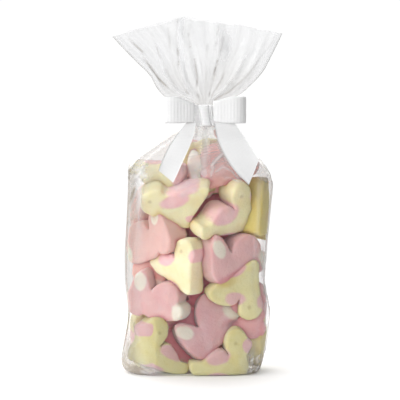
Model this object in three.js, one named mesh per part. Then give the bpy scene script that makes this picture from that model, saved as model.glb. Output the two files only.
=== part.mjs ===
// A gathered gift bag of marshmallows, tied at the neck with a ribbon bow.
// Units are millimetres, +Z is up, the front of the bag faces -Y. The bag
// stands on its block bottom, and the origin is the middle of the footprint.
import * as THREE from "three";
import { mergeVertices } from "three/addons/utils/BufferGeometryUtils.js";

// ---------------------------------------------------------------- dimensions
const BODY_DEPTH = 63; // front to back at the fullest height
const BODY_SQUARENESS = 3.3; // exponent of the superellipse section
const GUSSET_DEPTH = 1.6; // how far the side folds draw in
const SHOULDER_Z = 140; // where the filled body starts to close
const NECK_X = 4.8; // the neck stands a little right of the middle
const NECK_RADIUS = 5.0; // film gathered tight under the ribbon
const NECK_BOTTOM_Z = 176;
const NECK_TOP_Z = 189;
const PLEATS = 18; // gathers round the neck and along the open flare
const SHOULDER_PLEAT = 1.0; // depth of the gathers on the shoulder
const FLARE_PLEAT = 2.6; // depth of the pleats at the open edge
const FLARE_DEPTH = 17; // half depth of the fan at its open edge
const FLARE_PEAK_Z = 250.3; // highest point of the open edge
const FLARE_PEAK_X = -11.6;
const AROUND = 72; // faces round the bag
const BODY_RINGS = 17;
const SHOULDER_RINGS = 9;
const FLARE_RINGS = 13;

const RIBBON_WIDTH = 18.6; // loops, seen square on
const RIBBON_THICKNESS = 0.9;
const LOOP_BOTTOM_Z = 177.2;
const LEFT_LOOP_REACH = 19.4; // from the knot's side to the loop's tip
const RIGHT_LOOP_REACH = 22.4;
const LOOP_DEPTH = 10.5; // front to back across a loop
const LOOP_FORWARD = 1.2; // the loops sit this far ahead of the knot's middle
const KNOT_WIDTH = 11.2;
const KNOT_HEIGHT = 15.2;
const KNOT_DEPTH = 5.4;
const KNOT_BOTTOM_Z = 174.6;
const TIE_HEIGHT = 11.5; // the ribbon round the neck, gathered narrower
const TIE_BOTTOM_Z = 177;
const GAP = 0.35; // between neighbouring pieces

// Outline of the filled body seen from the front: height, left x, right x.
const OUTLINE = [
  [0, -47.5, 41.5],
  [2.5, -52.2, 44.0],
  [9.5, -54.0, 46.2],
  [20, -52.8, 48.8],
  [41, -49.9, 51.6],
  [66, -51.6, 47.0],
  [86, -51.2, 48.2],
  [121, -49.8, 51.6],
  [134, -49.4, 51.9],
  [145, -48.6, 46.9],
  [153.7, -41.6, 40.5],
  [161.4, -29.5, 31.5],
  [169, -14.5, 19.0],
  [174, -3.6, 12.2],
  [NECK_BOTTOM_Z, NECK_X - NECK_RADIUS, NECK_X + NECK_RADIUS],
];
// Share of the full half depth at each height.
const DEPTH = [
  [0, 0.885],
  [2.5, 0.95],
  [9.5, 0.985],
  [60, 1.0],
  [121, 0.985],
  [138, 0.965],
  [148, 0.87],
  [156, 0.71],
  [163, 0.52],
  [169, 0.335],
  [174, 0.2],
  [NECK_BOTTOM_Z, (2 * NECK_RADIUS) / BODY_DEPTH],
];
// Side edges of the flare from the neck to the open edge: x and height.
const FLARE_LEFT = [
  [NECK_X - NECK_RADIUS, NECK_TOP_Z],
  [-8.5, 190.6],
  [-21.1, 193.2],
  [-28.8, 200.5],
  [-34.2, 210.0],
  [-43.6, 219.5],
  [-58.2, 235.4],
];
const FLARE_RIGHT = [
  [NECK_X + NECK_RADIUS, NECK_TOP_Z],
  [15.8, 191.6],
  [28.6, 196.0],
  [38.6, 204.6],
  [46.4, 213.6],
  [52.8, 226.2],
  [58.0, 237.6],
];

// ------------------------------------------------------------------- helpers
// Smooth curve through rows [t, v1, v2, ...]: Catmull-Rom on uneven steps.
function smoothRows(rows, t) {
  const n = rows.length;
  if (t <= rows[0][0]) return rows[0].slice(1);
  if (t >= rows[n - 1][0]) return rows[n - 1].slice(1);
  let i = 0;
  while (t > rows[i + 1][0]) i++;
  const a = rows[i],
    b = rows[i + 1],
    h = b[0] - a[0],
    s = (t - a[0]) / h;
  return a.slice(1).map((_, k) => {
    const j = k + 1;
    const slope = (p, q) => (q[j] - p[j]) / (q[0] - p[0]);
    const here = slope(a, b);
    const limit = (m, other) =>
      m * other <= 0 ? 0 : Math.sign(here) * Math.min(Math.abs(m), 3 * Math.abs(other));
    let ma = i > 0 ? slope(rows[i - 1], b) : here;
    let mb = i + 2 < n ? slope(a, rows[i + 2]) : here;
    ma = limit(ma, here);
    mb = limit(mb, here);
    const s2 = s * s,
      s3 = s2 * s;
    return (
      (2 * s3 - 3 * s2 + 1) * a[j] +
      (s3 - 2 * s2 + s) * h * ma +
      (-2 * s3 + 3 * s2) * b[j] +
      (s3 - s2) * h * mb
    );
  });
}

const mix = (a, b, t) => a + (b - a) * t;
const smooth = (e0, e1, x) => {
  const t = Math.min(1, Math.max(0, (x - e0) / (e1 - e0)));
  return t * t * (3 - 2 * t);
};

// One section of the body or shoulder at height z: middle, half widths, depth.
function section(z) {
  const [left, right] = smoothRows(OUTLINE, z);
  const [share] = smoothRows(DEPTH, z);
  const close = smooth(SHOULDER_Z - 4, NECK_BOTTOM_Z, z);
  return {
    middle: (left + right) / 2,
    width: (right - left) / 2,
    depth: (share * BODY_DEPTH) / 2,
    power: mix(BODY_SQUARENESS, 2, close),
    close,
  };
}

// Front face of the bag at x and z, without its gathers.
function frontOf(x, z) {
  const s = section(Math.min(z, NECK_BOTTOM_Z));
  const t = Math.min(1, Math.abs(x - s.middle) / s.width);
  return -s.depth * Math.pow(Math.max(0, 1 - Math.pow(t, s.power)), 1 / s.power);
}

// A closed tube of rings: rings[i] is a list of AROUND points, capped by fans.
function closedRings(rings, bottomPoint, topPoint) {
  const n = rings[0].length,
    pos = [],
    index = [];
  for (const ring of rings) for (const p of ring) pos.push(p.x, p.y, p.z);
  const bottom = rings.length * n,
    top = bottom + 1;
  pos.push(bottomPoint.x, bottomPoint.y, bottomPoint.z);
  pos.push(topPoint.x, topPoint.y, topPoint.z);
  for (let r = 0; r + 1 < rings.length; r++)
    for (let i = 0; i < n; i++) {
      const a = r * n + i,
        b = r * n + ((i + 1) % n),
        c = a + n,
        d = b + n;
      index.push(a, b, d, a, d, c);
    }
  for (let i = 0; i < n; i++) {
    const j = (i + 1) % n,
      last = (rings.length - 1) * n;
    index.push(bottom, j, i);
    index.push(top, last + i, last + j);
  }
  const g = new THREE.BufferGeometry();
  g.setAttribute("position", new THREE.Float32BufferAttribute(pos, 3));
  g.setIndex(index);
  return g;
}

function finished(geometry) {
  geometry.computeVertexNormals();
  return geometry;
}

// ----------------------------------------------------------------------- bag
function bagGeometry() {
  const rings = [];
  const heights = [0, 1.2, 3.2, 6.5];
  for (let i = 1; i <= BODY_RINGS; i++)
    heights.push(mix(6.5, SHOULDER_Z, i / BODY_RINGS));
  for (let i = 1; i <= SHOULDER_RINGS; i++)
    heights.push(mix(SHOULDER_Z, NECK_BOTTOM_Z, i / SHOULDER_RINGS));
  heights.push(mix(NECK_BOTTOM_Z, NECK_TOP_Z, 0.5), NECK_TOP_Z);

  for (const z of heights) {
    const s = section(Math.min(z, NECK_BOTTOM_Z));
    const ring = [];
    for (let i = 0; i < AROUND; i++) {
      const u = (i / AROUND) * 2 * Math.PI,
        c = Math.cos(u),
        d = Math.sin(u);
      const power = 2 / s.power;
      let x = s.width * Math.sign(c) * Math.pow(Math.abs(c), power);
      let y = s.depth * Math.sign(d) * Math.pow(Math.abs(d), power);
      // side folds of the gusset, fading into the shoulder and the base
      const fold =
        GUSSET_DEPTH *
        Math.exp(-Math.pow(y / 6, 2)) *
        smooth(4, 26, z) *
        (1 - smooth(SHOULDER_Z - 22, SHOULDER_Z + 6, z));
      x -= Math.sign(c) * fold;
      // gathers that start on the shoulder and run into the neck
      const gather =
        SHOULDER_PLEAT *
        smooth(SHOULDER_Z + 2, SHOULDER_Z + 24, z) *
        (z > 171 ? 0.45 : 1) *
        Math.cos(PLEATS * u);
      const r = Math.hypot(x, y) || 1;
      ring.push(
        new THREE.Vector3(
          s.middle + x * (1 + gather / r),
          y * (1 + gather / r),
          z,
        ),
      );
    }
    rings.push(ring);
  }

  // The open flare: each ring runs between the two side edges of the fan.
  const sides = (edge, t) =>
    smoothRows(
      edge.map((p, i) => [i / (edge.length - 1), p[0], p[1]]),
      t,
    );
  for (let k = 1; k <= FLARE_RINGS; k++) {
    const t = k / FLARE_RINGS;
    const [xl, zl] = sides(FLARE_LEFT, t);
    const [xr, zr] = sides(FLARE_RIGHT, t);
    const middle = mix(NECK_X, FLARE_PEAK_X * 0.4, t * t);
    const rise = mix(NECK_TOP_Z, FLARE_PEAK_Z - 3.2, t);
    const depth = mix(NECK_RADIUS, FLARE_DEPTH, t);
    const ring = [];
    for (let i = 0; i < AROUND; i++) {
      const u = (i / AROUND) * 2 * Math.PI,
        c = Math.cos(u),
        d = Math.sin(u);
      const x = c < 0 ? middle + (middle - xl) * c : middle + (xr - middle) * c;
      const side = c < 0 ? zl : zr;
      const z =
        mix(rise, side, Math.pow(Math.abs(c), 1.7)) +
        3.2 * t * t * Math.exp(-Math.pow((x - FLARE_PEAK_X) / 9, 2));
      const pleat = FLARE_PLEAT * smooth(0.05, 0.6, t) * Math.cos(PLEATS * u);
      const y = depth * d * Math.pow(1 - 0.45 * t * c * c, 1) + pleat * d;
      ring.push(new THREE.Vector3(x - 0.35 * pleat * c * Math.abs(d), y, z));
    }
    rings.push(ring);
  }
  const centre = new THREE.Vector3(mix(NECK_X, FLARE_PEAK_X * 0.4, 1), 0, 240);
  return finished(
    closedRings(rings, new THREE.Vector3(-3, 0, 0), centre),
  );
}

// -------------------------------------------------------------------- ribbon
// Strap round the gathered neck: a flat ring turned from its section.
function tieGeometry() {
  const r0 = NECK_RADIUS + 0.5 + GAP,
    r1 = r0 + RIBBON_THICKNESS,
    h = TIE_HEIGHT / 2;
  const profile = [
    [r0, -h],
    [r1, -h * 0.96],
    [r1 + 0.25, 0],
    [r1, h * 0.96],
    [r0, h],
    [r0, -h],
  ].map((p) => new THREE.Vector2(p[0], p[1]));
  const g = new THREE.LatheGeometry(profile, 40);
  g.deleteAttribute("normal");
  g.deleteAttribute("uv");
  g.rotateX(Math.PI / 2);
  return finished(mergeVertices(g, 1e-4));
}

// A bow loop seen from above: a teardrop of ribbon whose two ends meet at the
// knot. "reach" runs along +X, and the ribbon's width stands along +Z. The
// strap's section has four corners and a middle row on each face.
function loopGeometry(reach) {
  const half = LOOP_DEPTH / 2,
    t = RIBBON_THICKNESS,
    steps = 34;
  const path = (u) => {
    const swell = Math.pow(Math.abs(Math.sin(u / 2)), 0.9);
    return new THREE.Vector2(
      reach * (0.5 - 0.5 * Math.cos(u)),
      half * Math.sin(u) * (0.45 + 0.75 * swell),
    );
  };
  const pos = [],
    index = [];
  const rows = [
    [0, 0],
    [0, 0.5],
    [0, 1],
    [1, 1],
    [1, 0.5],
    [1, 0],
  ]; // [inner face, share of the width]
  for (let i = 0; i < steps; i++) {
    const u = ((i + 0.5) / steps) * 2 * Math.PI,
      p = path(u),
      before = path(u - 0.02),
      after = path(u + 0.02);
    const along = after.sub(before).normalize();
    const inward = new THREE.Vector2(-along.y, along.x);
    if (inward.dot(new THREE.Vector2(reach * 0.5, 0).sub(p)) < 0)
      inward.negate();
    for (const [inner, share] of rows)
      pos.push(
        p.x + inward.x * t * inner,
        p.y + inward.y * t * inner,
        RIBBON_WIDTH * share,
      );
  }
  const m = rows.length;
  for (let i = 0; i < steps; i++)
    for (let k = 0; k < m; k++) {
      const a = i * m + k,
        b = i * m + ((k + 1) % m),
        c = ((i + 1) % steps) * m + k,
        d = ((i + 1) % steps) * m + ((k + 1) % m);
      index.push(a, b, d, a, d, c);
    }
  const g = new THREE.BufferGeometry();
  g.setAttribute("position", new THREE.Float32BufferAttribute(pos, 3));
  g.setIndex(index);
  return finished(g);
}

// The middle wrap of the bow: a box rounded by a superellipsoid, with a waist.
function knotGeometry() {
  const g = new THREE.BoxGeometry(1, 1, 1, 8, 6, 10);
  g.deleteAttribute("normal");
  g.deleteAttribute("uv");
  const merged = mergeVertices(g, 1e-5);
  const p = merged.attributes.position;
  for (let i = 0; i < p.count; i++) {
    const v = new THREE.Vector3().fromBufferAttribute(p, i).multiplyScalar(2);
    // round in plan, nearly straight up and down
    const plan = Math.max(Math.abs(v.x), Math.abs(v.y));
    const l = Math.hypot(v.x, v.y) || 1;
    const k = mix(1, plan / l, 0.62);
    const taper = 1 + 0.07 * v.z - 0.05 * (1 - v.z * v.z);
    p.setXYZ(
      i,
      (v.x * k * taper * KNOT_WIDTH) / 2,
      (v.y * k * KNOT_DEPTH) / 2,
      (v.z * KNOT_HEIGHT) / 2,
    );
  }
  return finished(merged);
}

// A tail: a flat strip between two edge curves on the front of the shoulder.
function tailGeometry(left, right, startDepth) {
  const nu = 5,
    nv = 14;
  const g = new THREE.BoxGeometry(1, 1, 1, nu, 1, nv);
  g.deleteAttribute("normal");
  g.deleteAttribute("uv");
  const merged = mergeVertices(g, 1e-5);
  const rowsOf = (edge) => edge.map((p, i) => [i / (edge.length - 1), ...p]);
  const a = rowsOf(left),
    b = rowsOf(right);
  const at = (u, v) => {
    const [xa, za] = smoothRows(a, v),
      [xb, zb] = smoothRows(b, v);
    return [mix(xa, xb, u), mix(za, zb, u)];
  };
  const lieAt = (v) => {
    let y = Infinity;
    for (let k = 0; k <= 8; k++) {
      const [x, z] = at(k / 8, v);
      y = Math.min(y, frontOf(x, z) - 1.35);
    }
    return Math.min(y, startDepth - 10 * v);
  };
  const p = merged.attributes.position;
  for (let i = 0; i < p.count; i++) {
    const u = p.getX(i) + 0.5,
      w = p.getY(i) + 0.5,
      v = 0.5 - p.getZ(i);
    const [x, z] = at(u, v);
    p.setXYZ(i, x, lieAt(v) - RIBBON_THICKNESS * (1 - w), z);
  }
  return finished(merged);
}

// --------------------------------------------------------------------- build
const film = new THREE.MeshStandardMaterial({
  color: 0xf0eadf,
  roughness: 0.15,
  metalness: 0,
  transparent: true,
  opacity: 0.45,
});
const ribbon = new THREE.MeshStandardMaterial({
  color: 0xf0f0ee,
  roughness: 0.65,
  metalness: 0,
});

const model = new THREE.Group();
model.name = "gift_bag_of_marshmallows";

function add(name, geometry, material, place = [0, 0, 0], turn = 0) {
  const mesh = new THREE.Mesh(geometry, material);
  mesh.name = name;
  mesh.position.set(...place);
  mesh.rotation.z = turn;
  model.add(mesh);
  return mesh;
}

add("bag", bagGeometry(), film);
add("neck_tie", tieGeometry(), ribbon, [
  NECK_X,
  0,
  TIE_BOTTOM_Z + TIE_HEIGHT / 2,
]);

const bowY = -(NECK_RADIUS + 0.75 + RIBBON_THICKNESS + 2 * GAP + KNOT_DEPTH / 2);
add("bow_knot", knotGeometry(), ribbon, [
  NECK_X,
  bowY,
  KNOT_BOTTOM_Z + KNOT_HEIGHT / 2,
]);
const knotSide = (KNOT_WIDTH / 2) * 1.07 + GAP;
add(
  "bow_loop_left",
  loopGeometry(LEFT_LOOP_REACH),
  ribbon,
  [NECK_X - knotSide, bowY - LOOP_FORWARD, LOOP_BOTTOM_Z],
  Math.PI,
);
add("bow_loop_right", loopGeometry(RIGHT_LOOP_REACH), ribbon, [
  NECK_X + knotSide,
  bowY - LOOP_FORWARD,
  LOOP_BOTTOM_Z,
]);

const tailTop = LOOP_BOTTOM_Z - 1.4;
add(
  "bow_tail_left",
  tailGeometry(
    [
      [-8.6, tailTop],
      [-18.6, 164.2],
      [-23.6, 155.6],
      [-27.7, 145.6],
    ],
    [
      [-1.6, tailTop],
      [-4.4, 165.3],
      [-10.6, 151.7],
      [-17.4, 137.2],
    ],
    bowY - 1.0,
  ),
  ribbon,
);
add(
  "bow_tail_right",
  tailGeometry(
    [
      [11.2, tailTop],
      [14.6, 163.4],
      [24.0, 147.2],
      [35.3, 135.8],
    ],
    [
      [26.6, tailTop],
      [32.0, 168.4],
      [37.4, 161.0],
      [42.8, 153.6],
    ],
    bowY - 1.0,
  ),
  ribbon,
);

// Middle of the footprint to the origin.
model.updateMatrixWorld(true);
const box = new THREE.Box3().setFromObject(model, true);
for (const mesh of model.children) {
  mesh.position.x -= (box.min.x + box.max.x) / 2;
  mesh.position.y -= (box.min.y + box.max.y) / 2;
  mesh.position.z -= box.min.z;
}

export default model;
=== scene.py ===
"""Looks of a clear gift bag of marshmallow chicks and rabbits with a ribbon bow.

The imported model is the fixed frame. The bag's solid is replaced by a thin film
and by the marshmallows in it, and the ribbon's solids by ribbed ribbon.
Lengths in the making code are millimetres; meshes are handed over in metres.
"""

import math

import bpy
import numpy as np
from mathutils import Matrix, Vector, geometry


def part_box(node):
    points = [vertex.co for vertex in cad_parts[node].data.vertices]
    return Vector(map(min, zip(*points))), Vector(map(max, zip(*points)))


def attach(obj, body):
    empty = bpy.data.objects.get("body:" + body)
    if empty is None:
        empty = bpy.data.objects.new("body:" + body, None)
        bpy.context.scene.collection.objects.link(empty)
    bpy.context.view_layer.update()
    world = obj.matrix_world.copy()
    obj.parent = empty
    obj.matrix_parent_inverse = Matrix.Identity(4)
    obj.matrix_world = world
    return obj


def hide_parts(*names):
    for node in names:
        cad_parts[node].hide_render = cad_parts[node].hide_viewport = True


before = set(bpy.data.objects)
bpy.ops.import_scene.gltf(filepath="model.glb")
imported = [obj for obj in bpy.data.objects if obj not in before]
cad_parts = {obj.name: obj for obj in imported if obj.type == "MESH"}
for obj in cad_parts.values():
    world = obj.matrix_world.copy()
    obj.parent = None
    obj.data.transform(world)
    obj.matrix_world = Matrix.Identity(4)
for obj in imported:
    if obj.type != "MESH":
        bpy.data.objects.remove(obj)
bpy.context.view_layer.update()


MM = 0.001
low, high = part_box("neck_tie")
NECK_X = 4.8
SHIFT = np.array(
    [
        (low.x + high.x) / 2 / MM - NECK_X,
        (low.y + high.y) / 2 / MM,
        0.0,
    ]
)

# --------------------------------------------------------------- small tools


def mix(a, b, t):
    return a + (b - a) * t


def smooth(e0, e1, x):
    t = np.clip((np.asarray(x, float) - e0) / (e1 - e0), 0, 1)
    return t * t * (3 - 2 * t)


_table = np.random.RandomState(20241)
_PERM = _table.permutation(256)
_GRAD = _table.normal(size=(256, 3))
_GRAD /= np.linalg.norm(_GRAD, axis=1)[:, None]


def noise(p, seed=0):
    """Smooth gradient noise of points (..., 3), roughly -1 to 1."""
    p = np.asarray(p, float) + seed * 17.31
    cell = np.floor(p).astype(int)
    f = p - cell
    w = f * f * f * (f * (f * 6 - 15) + 10)
    total = np.zeros(p.shape[:-1])
    for dx in (0, 1):
        for dy in (0, 1):
            for dz in (0, 1):
                h = _PERM[(cell[..., 0] + dx) & 255]
                h = _PERM[(h + cell[..., 1] + dy) & 255]
                h = _PERM[(h + cell[..., 2] + dz) & 255]
                d = (_GRAD[h] * (f - np.array([dx, dy, dz]))).sum(-1)
                k = (
                    (w[..., 0] if dx else 1 - w[..., 0])
                    * (w[..., 1] if dy else 1 - w[..., 1])
                    * (w[..., 2] if dz else 1 - w[..., 2])
                )
                total += k * d
    return total * 1.7


def smooth_rows(rows, t):
    """Curve through rows [t, v1, v2, ...] with limited slopes, at an array t."""
    rows = np.array(rows, float)
    t = np.asarray(t, float)
    at, val = rows[:, 0], rows[:, 1:]
    n = len(rows)
    here = (val[1:] - val[:-1]) / (at[1:] - at[:-1])[:, None]
    across = (val[2:] - val[:-2]) / (at[2:] - at[:-2])[:, None]

    def limit(m, other):
        return np.where(
            m * other <= 0,
            0,
            np.sign(other) * np.minimum(np.abs(m), 3 * np.abs(other)),
        )

    ma = limit(np.vstack([here[:1], across]), here)
    mb = limit(np.vstack([across, here[-1:]]), here)
    i = np.clip(np.searchsorted(at, t, side="right") - 1, 0, n - 2)
    h = (at[i + 1] - at[i])[..., None]
    s = np.clip((t - at[i]) / (at[i + 1] - at[i]), 0, 1)[..., None]
    s2, s3 = s * s, s * s * s
    return (
        (2 * s3 - 3 * s2 + 1) * val[i]
        + (s3 - 2 * s2 + s) * h * ma[i]
        + (-2 * s3 + 3 * s2) * val[i + 1]
        + (s3 - s2) * h * mb[i]
    )


def make_object(name, points, faces, attributes=(), smooth_shading=True):
    """A mesh object from points in mm (in the CAD's source frame) and faces."""
    mesh = bpy.data.meshes.new(name)
    pts = (np.asarray(points, float) + SHIFT) * MM
    mesh.from_pydata(pts.tolist(), [], [tuple(int(i) for i in f) for f in faces])
    mesh.polygons.foreach_set("use_smooth", [smooth_shading] * len(mesh.polygons))
    for label, values in attributes:
        values = np.asarray(values, np.float32)
        if values.ndim == 1:
            a = mesh.attributes.new(label, "FLOAT", "POINT")
            a.data.foreach_set("value", values)
        else:
            a = mesh.attributes.new(label, "FLOAT_VECTOR", "POINT")
            a.data.foreach_set("vector", values.ravel())
    mesh.update()
    obj = bpy.data.objects.new(name, mesh)
    bpy.context.scene.collection.objects.link(obj)
    return obj


def grid_faces(rows, columns, closed=True, start=0):
    out = []
    last = columns if closed else columns - 1
    for r in range(rows - 1):
        for c in range(last):
            a = start + r * columns + c
            b = start + r * columns + (c + 1) % columns
            out.append((a, b, b + columns, a + columns))
    return out


# --------------------------------------------------------- shape of the bag
BODY_DEPTH = 63.0
BODY_SQUARENESS = 3.3
GUSSET_DEPTH = 1.6
SHOULDER_Z = 140.0
NECK_RADIUS = 5.0
NECK_BOTTOM_Z = 176.0
NECK_TOP_Z = 189.0
FLARE_PEAK_Z = 252.2
FLARE_PEAK_X = -11.6
FLARE_DEPTH = 17.0

OUTLINE = [
    [0, -48.0, 41.5],
    [2.5, -52.8, 44.0],
    [9.5, -54.8, 46.2],
    [20, -53.4, 48.8],
    [41, -50.6, 51.8],
    [66, -52.4, 47.6],
    [86, -52.2, 49.0],
    [121, -50.4, 52.3],
    [134, -49.8, 53.0],
    [145, -49.5, 48.2],
    [153.7, -41.6, 40.5],
    [161.4, -29.5, 31.5],
    [169, -16.8, 19.0],
    [174, -6.0, 12.2],
    [NECK_BOTTOM_Z, NECK_X - NECK_RADIUS, NECK_X + NECK_RADIUS],
]
DEPTH = [
    [0, 0.885],
    [2.5, 0.95],
    [9.5, 0.985],
    [60, 1.0],
    [121, 0.985],
    [138, 0.965],
    [148, 0.87],
    [156, 0.71],
    [163, 0.52],
    [169, 0.335],
    [174, 0.2],
    [NECK_BOTTOM_Z, 2 * NECK_RADIUS / BODY_DEPTH],
]
FLARE_LEFT = [
    [NECK_X - NECK_RADIUS, NECK_TOP_Z],
    [-8.5, 190.6],
    [-21.1, 193.2],
    [-28.8, 200.5],
    [-34.2, 210.0],
    [-43.6, 219.5],
    [-60.4, 237.0],
]
FLARE_RIGHT = [
    [NECK_X + NECK_RADIUS, NECK_TOP_Z],
    [15.8, 191.6],
    [28.6, 196.0],
    [38.6, 204.6],
    [46.4, 213.6],
    [52.8, 226.2],
    [59.2, 239.6],
]


def section(z):
    """Middle, half width, half depth and squareness of the bag at heights z."""
    z = np.clip(z, 0, NECK_BOTTOM_Z)
    lr = smooth_rows(OUTLINE, z)
    share = smooth_rows(DEPTH, z)[..., 0]
    close = smooth(SHOULDER_Z - 4, NECK_BOTTOM_Z, z)
    return (
        (lr[..., 0] + lr[..., 1]) / 2,
        (lr[..., 1] - lr[..., 0]) / 2,
        share * BODY_DEPTH / 2,
        mix(BODY_SQUARENESS, 2.0, close),
    )


def front_of(x, z):
    middle, width, depth, power = section(z)
    t = np.clip(np.abs(x - middle) / width, 0, 1)
    return -depth * np.power(np.maximum(0, 1 - t**power), 1 / power)


# ------------------------------------------------------------- marshmallows
# Half outlines of the two shapes, in mm: x to the right, z up. The chick looks
# to +x, the rabbit to -x. Both are cut slabs of the same thickness.
CHICK = [
    (-19.2, -7.3), (-11.8, -6.4), (-7.6, -2.1), (-1.0, 2.6), (3.8, 2.1),
    (6.4, -1.0), (4.6, 3.5), (3.6, 9.0), (5.9, 15.6), (11.4, 18.9),
    (16.6, 16.6), (19.7, 12.1), (22.0, 9.7), (23.2, 6.6), (20.8, 1.7),
    (19.9, -1.4), (21.2, -5.5), (21.9, -11.1), (19.4, -15.9), (11.8, -16.6),
    (4.2, -16.7), (-6.9, -16.6), (-16.6, -16.3), (-19.7, -12.5),
]
RABBIT = [
    (-13.0, 18.0), (-17.3, 13.0), (-19.6, 5.5), (-21.0, -2.5), (-20.6, -9.5),
    (-16.5, -14.8), (-10.5, -15.6), (-6.8, -13.6), (-2.5, -15.6), (5.0, -16.0),
    (12.5, -15.4), (16.0, -14.8), (20.6, -13.6), (23.4, -9.0), (22.4, -3.6),
    (18.8, -1.6), (18.6, 4.0), (15.8, 10.2), (9.8, 12.8), (3.2, 11.4),
    (-1.0, 7.6), (-3.2, 4.4), (-5.2, 9.4), (-7.6, 15.2), (-10.0, 17.9),
]
# A chick with a round head whose beak hardly shows.
ROUND = [
    (-19.2, -7.3), (-14.2, -6.6), (-10.6, -3.2), (-7.4, 0.8), (-3.6, 3.2),
    (0.8, 3.4), (4.6, 1.6), (6.6, 0.2), (5.0, 3.6), (3.6, 9.0),
    (5.4, 15.4), (10.4, 18.8), (15.2, 17.2), (17.6, 13.2), (18.4, 9.6),
    (18.8, 6.0), (18.7, 2.0), (19.6, -1.6), (21.6, -5.8), (22.6, -10.8),
    (20.0, -15.9), (11.8, -16.6), (4.2, -16.7), (-6.9, -16.6), (-16.6, -16.3),
    (-19.7, -12.5),
]
# A broader chick whose head leans away from its back.
BROAD = [
    (-26.6, 1.2), (-26.0, 4.8), (-23.9, 8.0), (-20.4, 10.4), (-16.6, 11.6),
    (-13.0, 11.8), (-10.8, 11.0), (-9.8, 9.9), (-9.2, 9.2), (-8.2, 9.0),
    (-6.8, 8.6), (-4.2, 9.5), (0.8, 11.0), (6.4, 12.2), (12.3, 13.0),
    (17.3, 13.6), (21.8, 14.1), (23.9, 12.4), (22.6, 8.9), (19.8, 3.0),
    (15.6, -4.0), (11.9, -9.9), (10.3, -14.9), (9.3, -18.6), (7.0, -19.8),
    (0.8, -19.4), (-5.3, -19.0), (-9.6, -17.4), (-12.8, -13.8), (-15.8, -11.0),
    (-19.6, -8.6), (-23.6, -5.8), (-25.9, -2.0),
]
# A taller one, cut with a steep belly.
TALL = [
    (-18.8, 1.6), (-17.5, 4.7), (-14.4, 7.5), (-10.2, 9.3), (-4.7, 9.8),
    (0.0, 8.8), (2.3, 5.9), (2.1, 10.2), (2.0, 13.7), (3.3, 17.3),
    (6.0, 19.4), (9.8, 20.2), (14.0, 19.2), (16.9, 16.1), (18.6, 11.8),
    (18.8, 7.9), (17.2, 3.9), (16.4, -1.6), (16.2, -8.6), (16.4, -14.9),
    (15.3, -18.4), (13.0, -19.4), (9.3, -18.1), (1.9, -13.0), (-5.6, -9.0),
    (-11.6, -6.3), (-15.8, -3.0), (-18.1, -0.6),
]
# A rabbit cut with a higher back.
HUMPED = [
    (-13.0, 18.0), (-17.3, 13.0), (-19.6, 5.5), (-21.0, -2.5), (-20.6, -9.5),
    (-16.5, -14.8), (-10.5, -15.6), (-6.8, -14.4), (-2.5, -15.6), (5.0, -16.0),
    (12.5, -15.4), (16.0, -14.8), (20.6, -13.6), (23.4, -9.0), (22.4, -3.6),
    (19.4, -1.1), (20.5, 5.4), (19.3, 12.7), (13.3, 15.3), (5.7, 13.2),
    (-0.2, 8.2), (-3.2, 4.4), (-5.2, 9.4), (-7.6, 15.2), (-10.0, 17.9),
]
# Coloured patches as ellipses: middle x, z, radii, tilt in degrees. They run
# through the whole thickness of a slab.
PATCHES = {
    "c": [(-2.1, -2.3, 8.6, 5.4, 15), (20.8, 6.8, 4.0, 5.2, 0), (0.0, -17.4, 7.5, 3.0, 0)],
    "d": [(-1.6, -2.0, 9.4, 5.6, 15), (19.4, 7.4, 2.8, 4.4, 0), (0.0, -17.4, 7.5, 3.0, 0)],
    "b": [(-0.4, 4.2, 11.0, 5.2, 20), (4.0, 13.6, 13.2, 5.2, 8), (10.6, -11.2, 3.6, 2.9, 0)],
    "a": [(-4.2, 5.0, 6.6, 4.6, 10), (18.8, 8.2, 4.6, 5.2, 0), (1.4, -14.0, 6.0, 3.0, -34)],
    "r": [(-12.3, 10.0, 4.7, 6.8, 12), (22.6, -7.6, 7.2, 8.2, 20)],
    "h": [(-12.3, 10.0, 4.7, 6.8, 12), (22.6, -7.6, 7.2, 8.2, 20)],
}
EYES = {"c": (10.9, 8.2), "d": (10.2, 9.4), "b": (-19.0, 3.5), "a": (8.8, 11.4), "r": None, "h": None}
# pieces whose patches lie elsewhere, or that are of one colour
OTHER_PATCHES = {
    "J": [],
    "H": [(0.0, -17.4, 7.5, 3.0, 0), (21.5, -8.5, 7.5, 10.0, 0)],
    "K": [(6.0, 4.0, 5.0, 13.0, 10)],
    "L": [(-12.3, 11.5, 3.6, 5.6, 12), (22.6, -7.6, 6.2, 7.2, 20)],
    "N": [(-12.3, 10.0, 4.7, 6.8, 12), (20.4, -7.4, 8.0, 8.0, 20)],
    "I": [(-11.4, 8.6, 6.6, 17.0, 0)],
    "P": [],
    "S": [],
    "F": [(-0.4, 5.2, 6.6, 4.2, 8), (18.4, 8.6, 3.8, 4.8, 0), (1.4, -14.0, 6.0, 3.0, -34)],
    "E": [(-3.8, -3.0, 10.6, 5.2, 4), (22.4, 7.0, 2.4, 6.0, 12), (7.0, -17.4, 8.0, 2.6, 0)],
}
# Painted light and shade on each visible piece: the lower and right ones darkened,
# those in the gaps and a few others lightened, in place of the studio's light;
# the rest are drawn at random, as the sweets' own paleness.
PAINTED_LIGHT_PER_PIECE = {
    "A": 1.04, "B": 0.99, "C": 0.98, "D": 0.65, "E": 0.66, "F": 0.73, "H": 1.04,
    "I": 1.26, "J": 0.94, "K": 0.84, "L": 0.86, "M": 0.78, "N": 0.64, "O": 0.78,
    "P": 0.76, "S": 0.80, "Q": 1.3, "X10": 1.3, "X11": 1.25, "X12": 1.1, "V": 0.95,
}
# Painted shade: pieces in the gaps and at the right painted a deeper, more saturated
# colour, in place of the coloured shade between the sweets: 0 none, 1 the deepest.
GAP_SHADOW_AMOUNT = {"Q": 0.8, "V": 0.35, "X10": 1.0, "X11": 1.0, "X12": 0.9, "X4": 0.7, "X6": 0.7, "K": 1.0, "P": 0.5, "J": 0.35, "S": 0.3}
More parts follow.
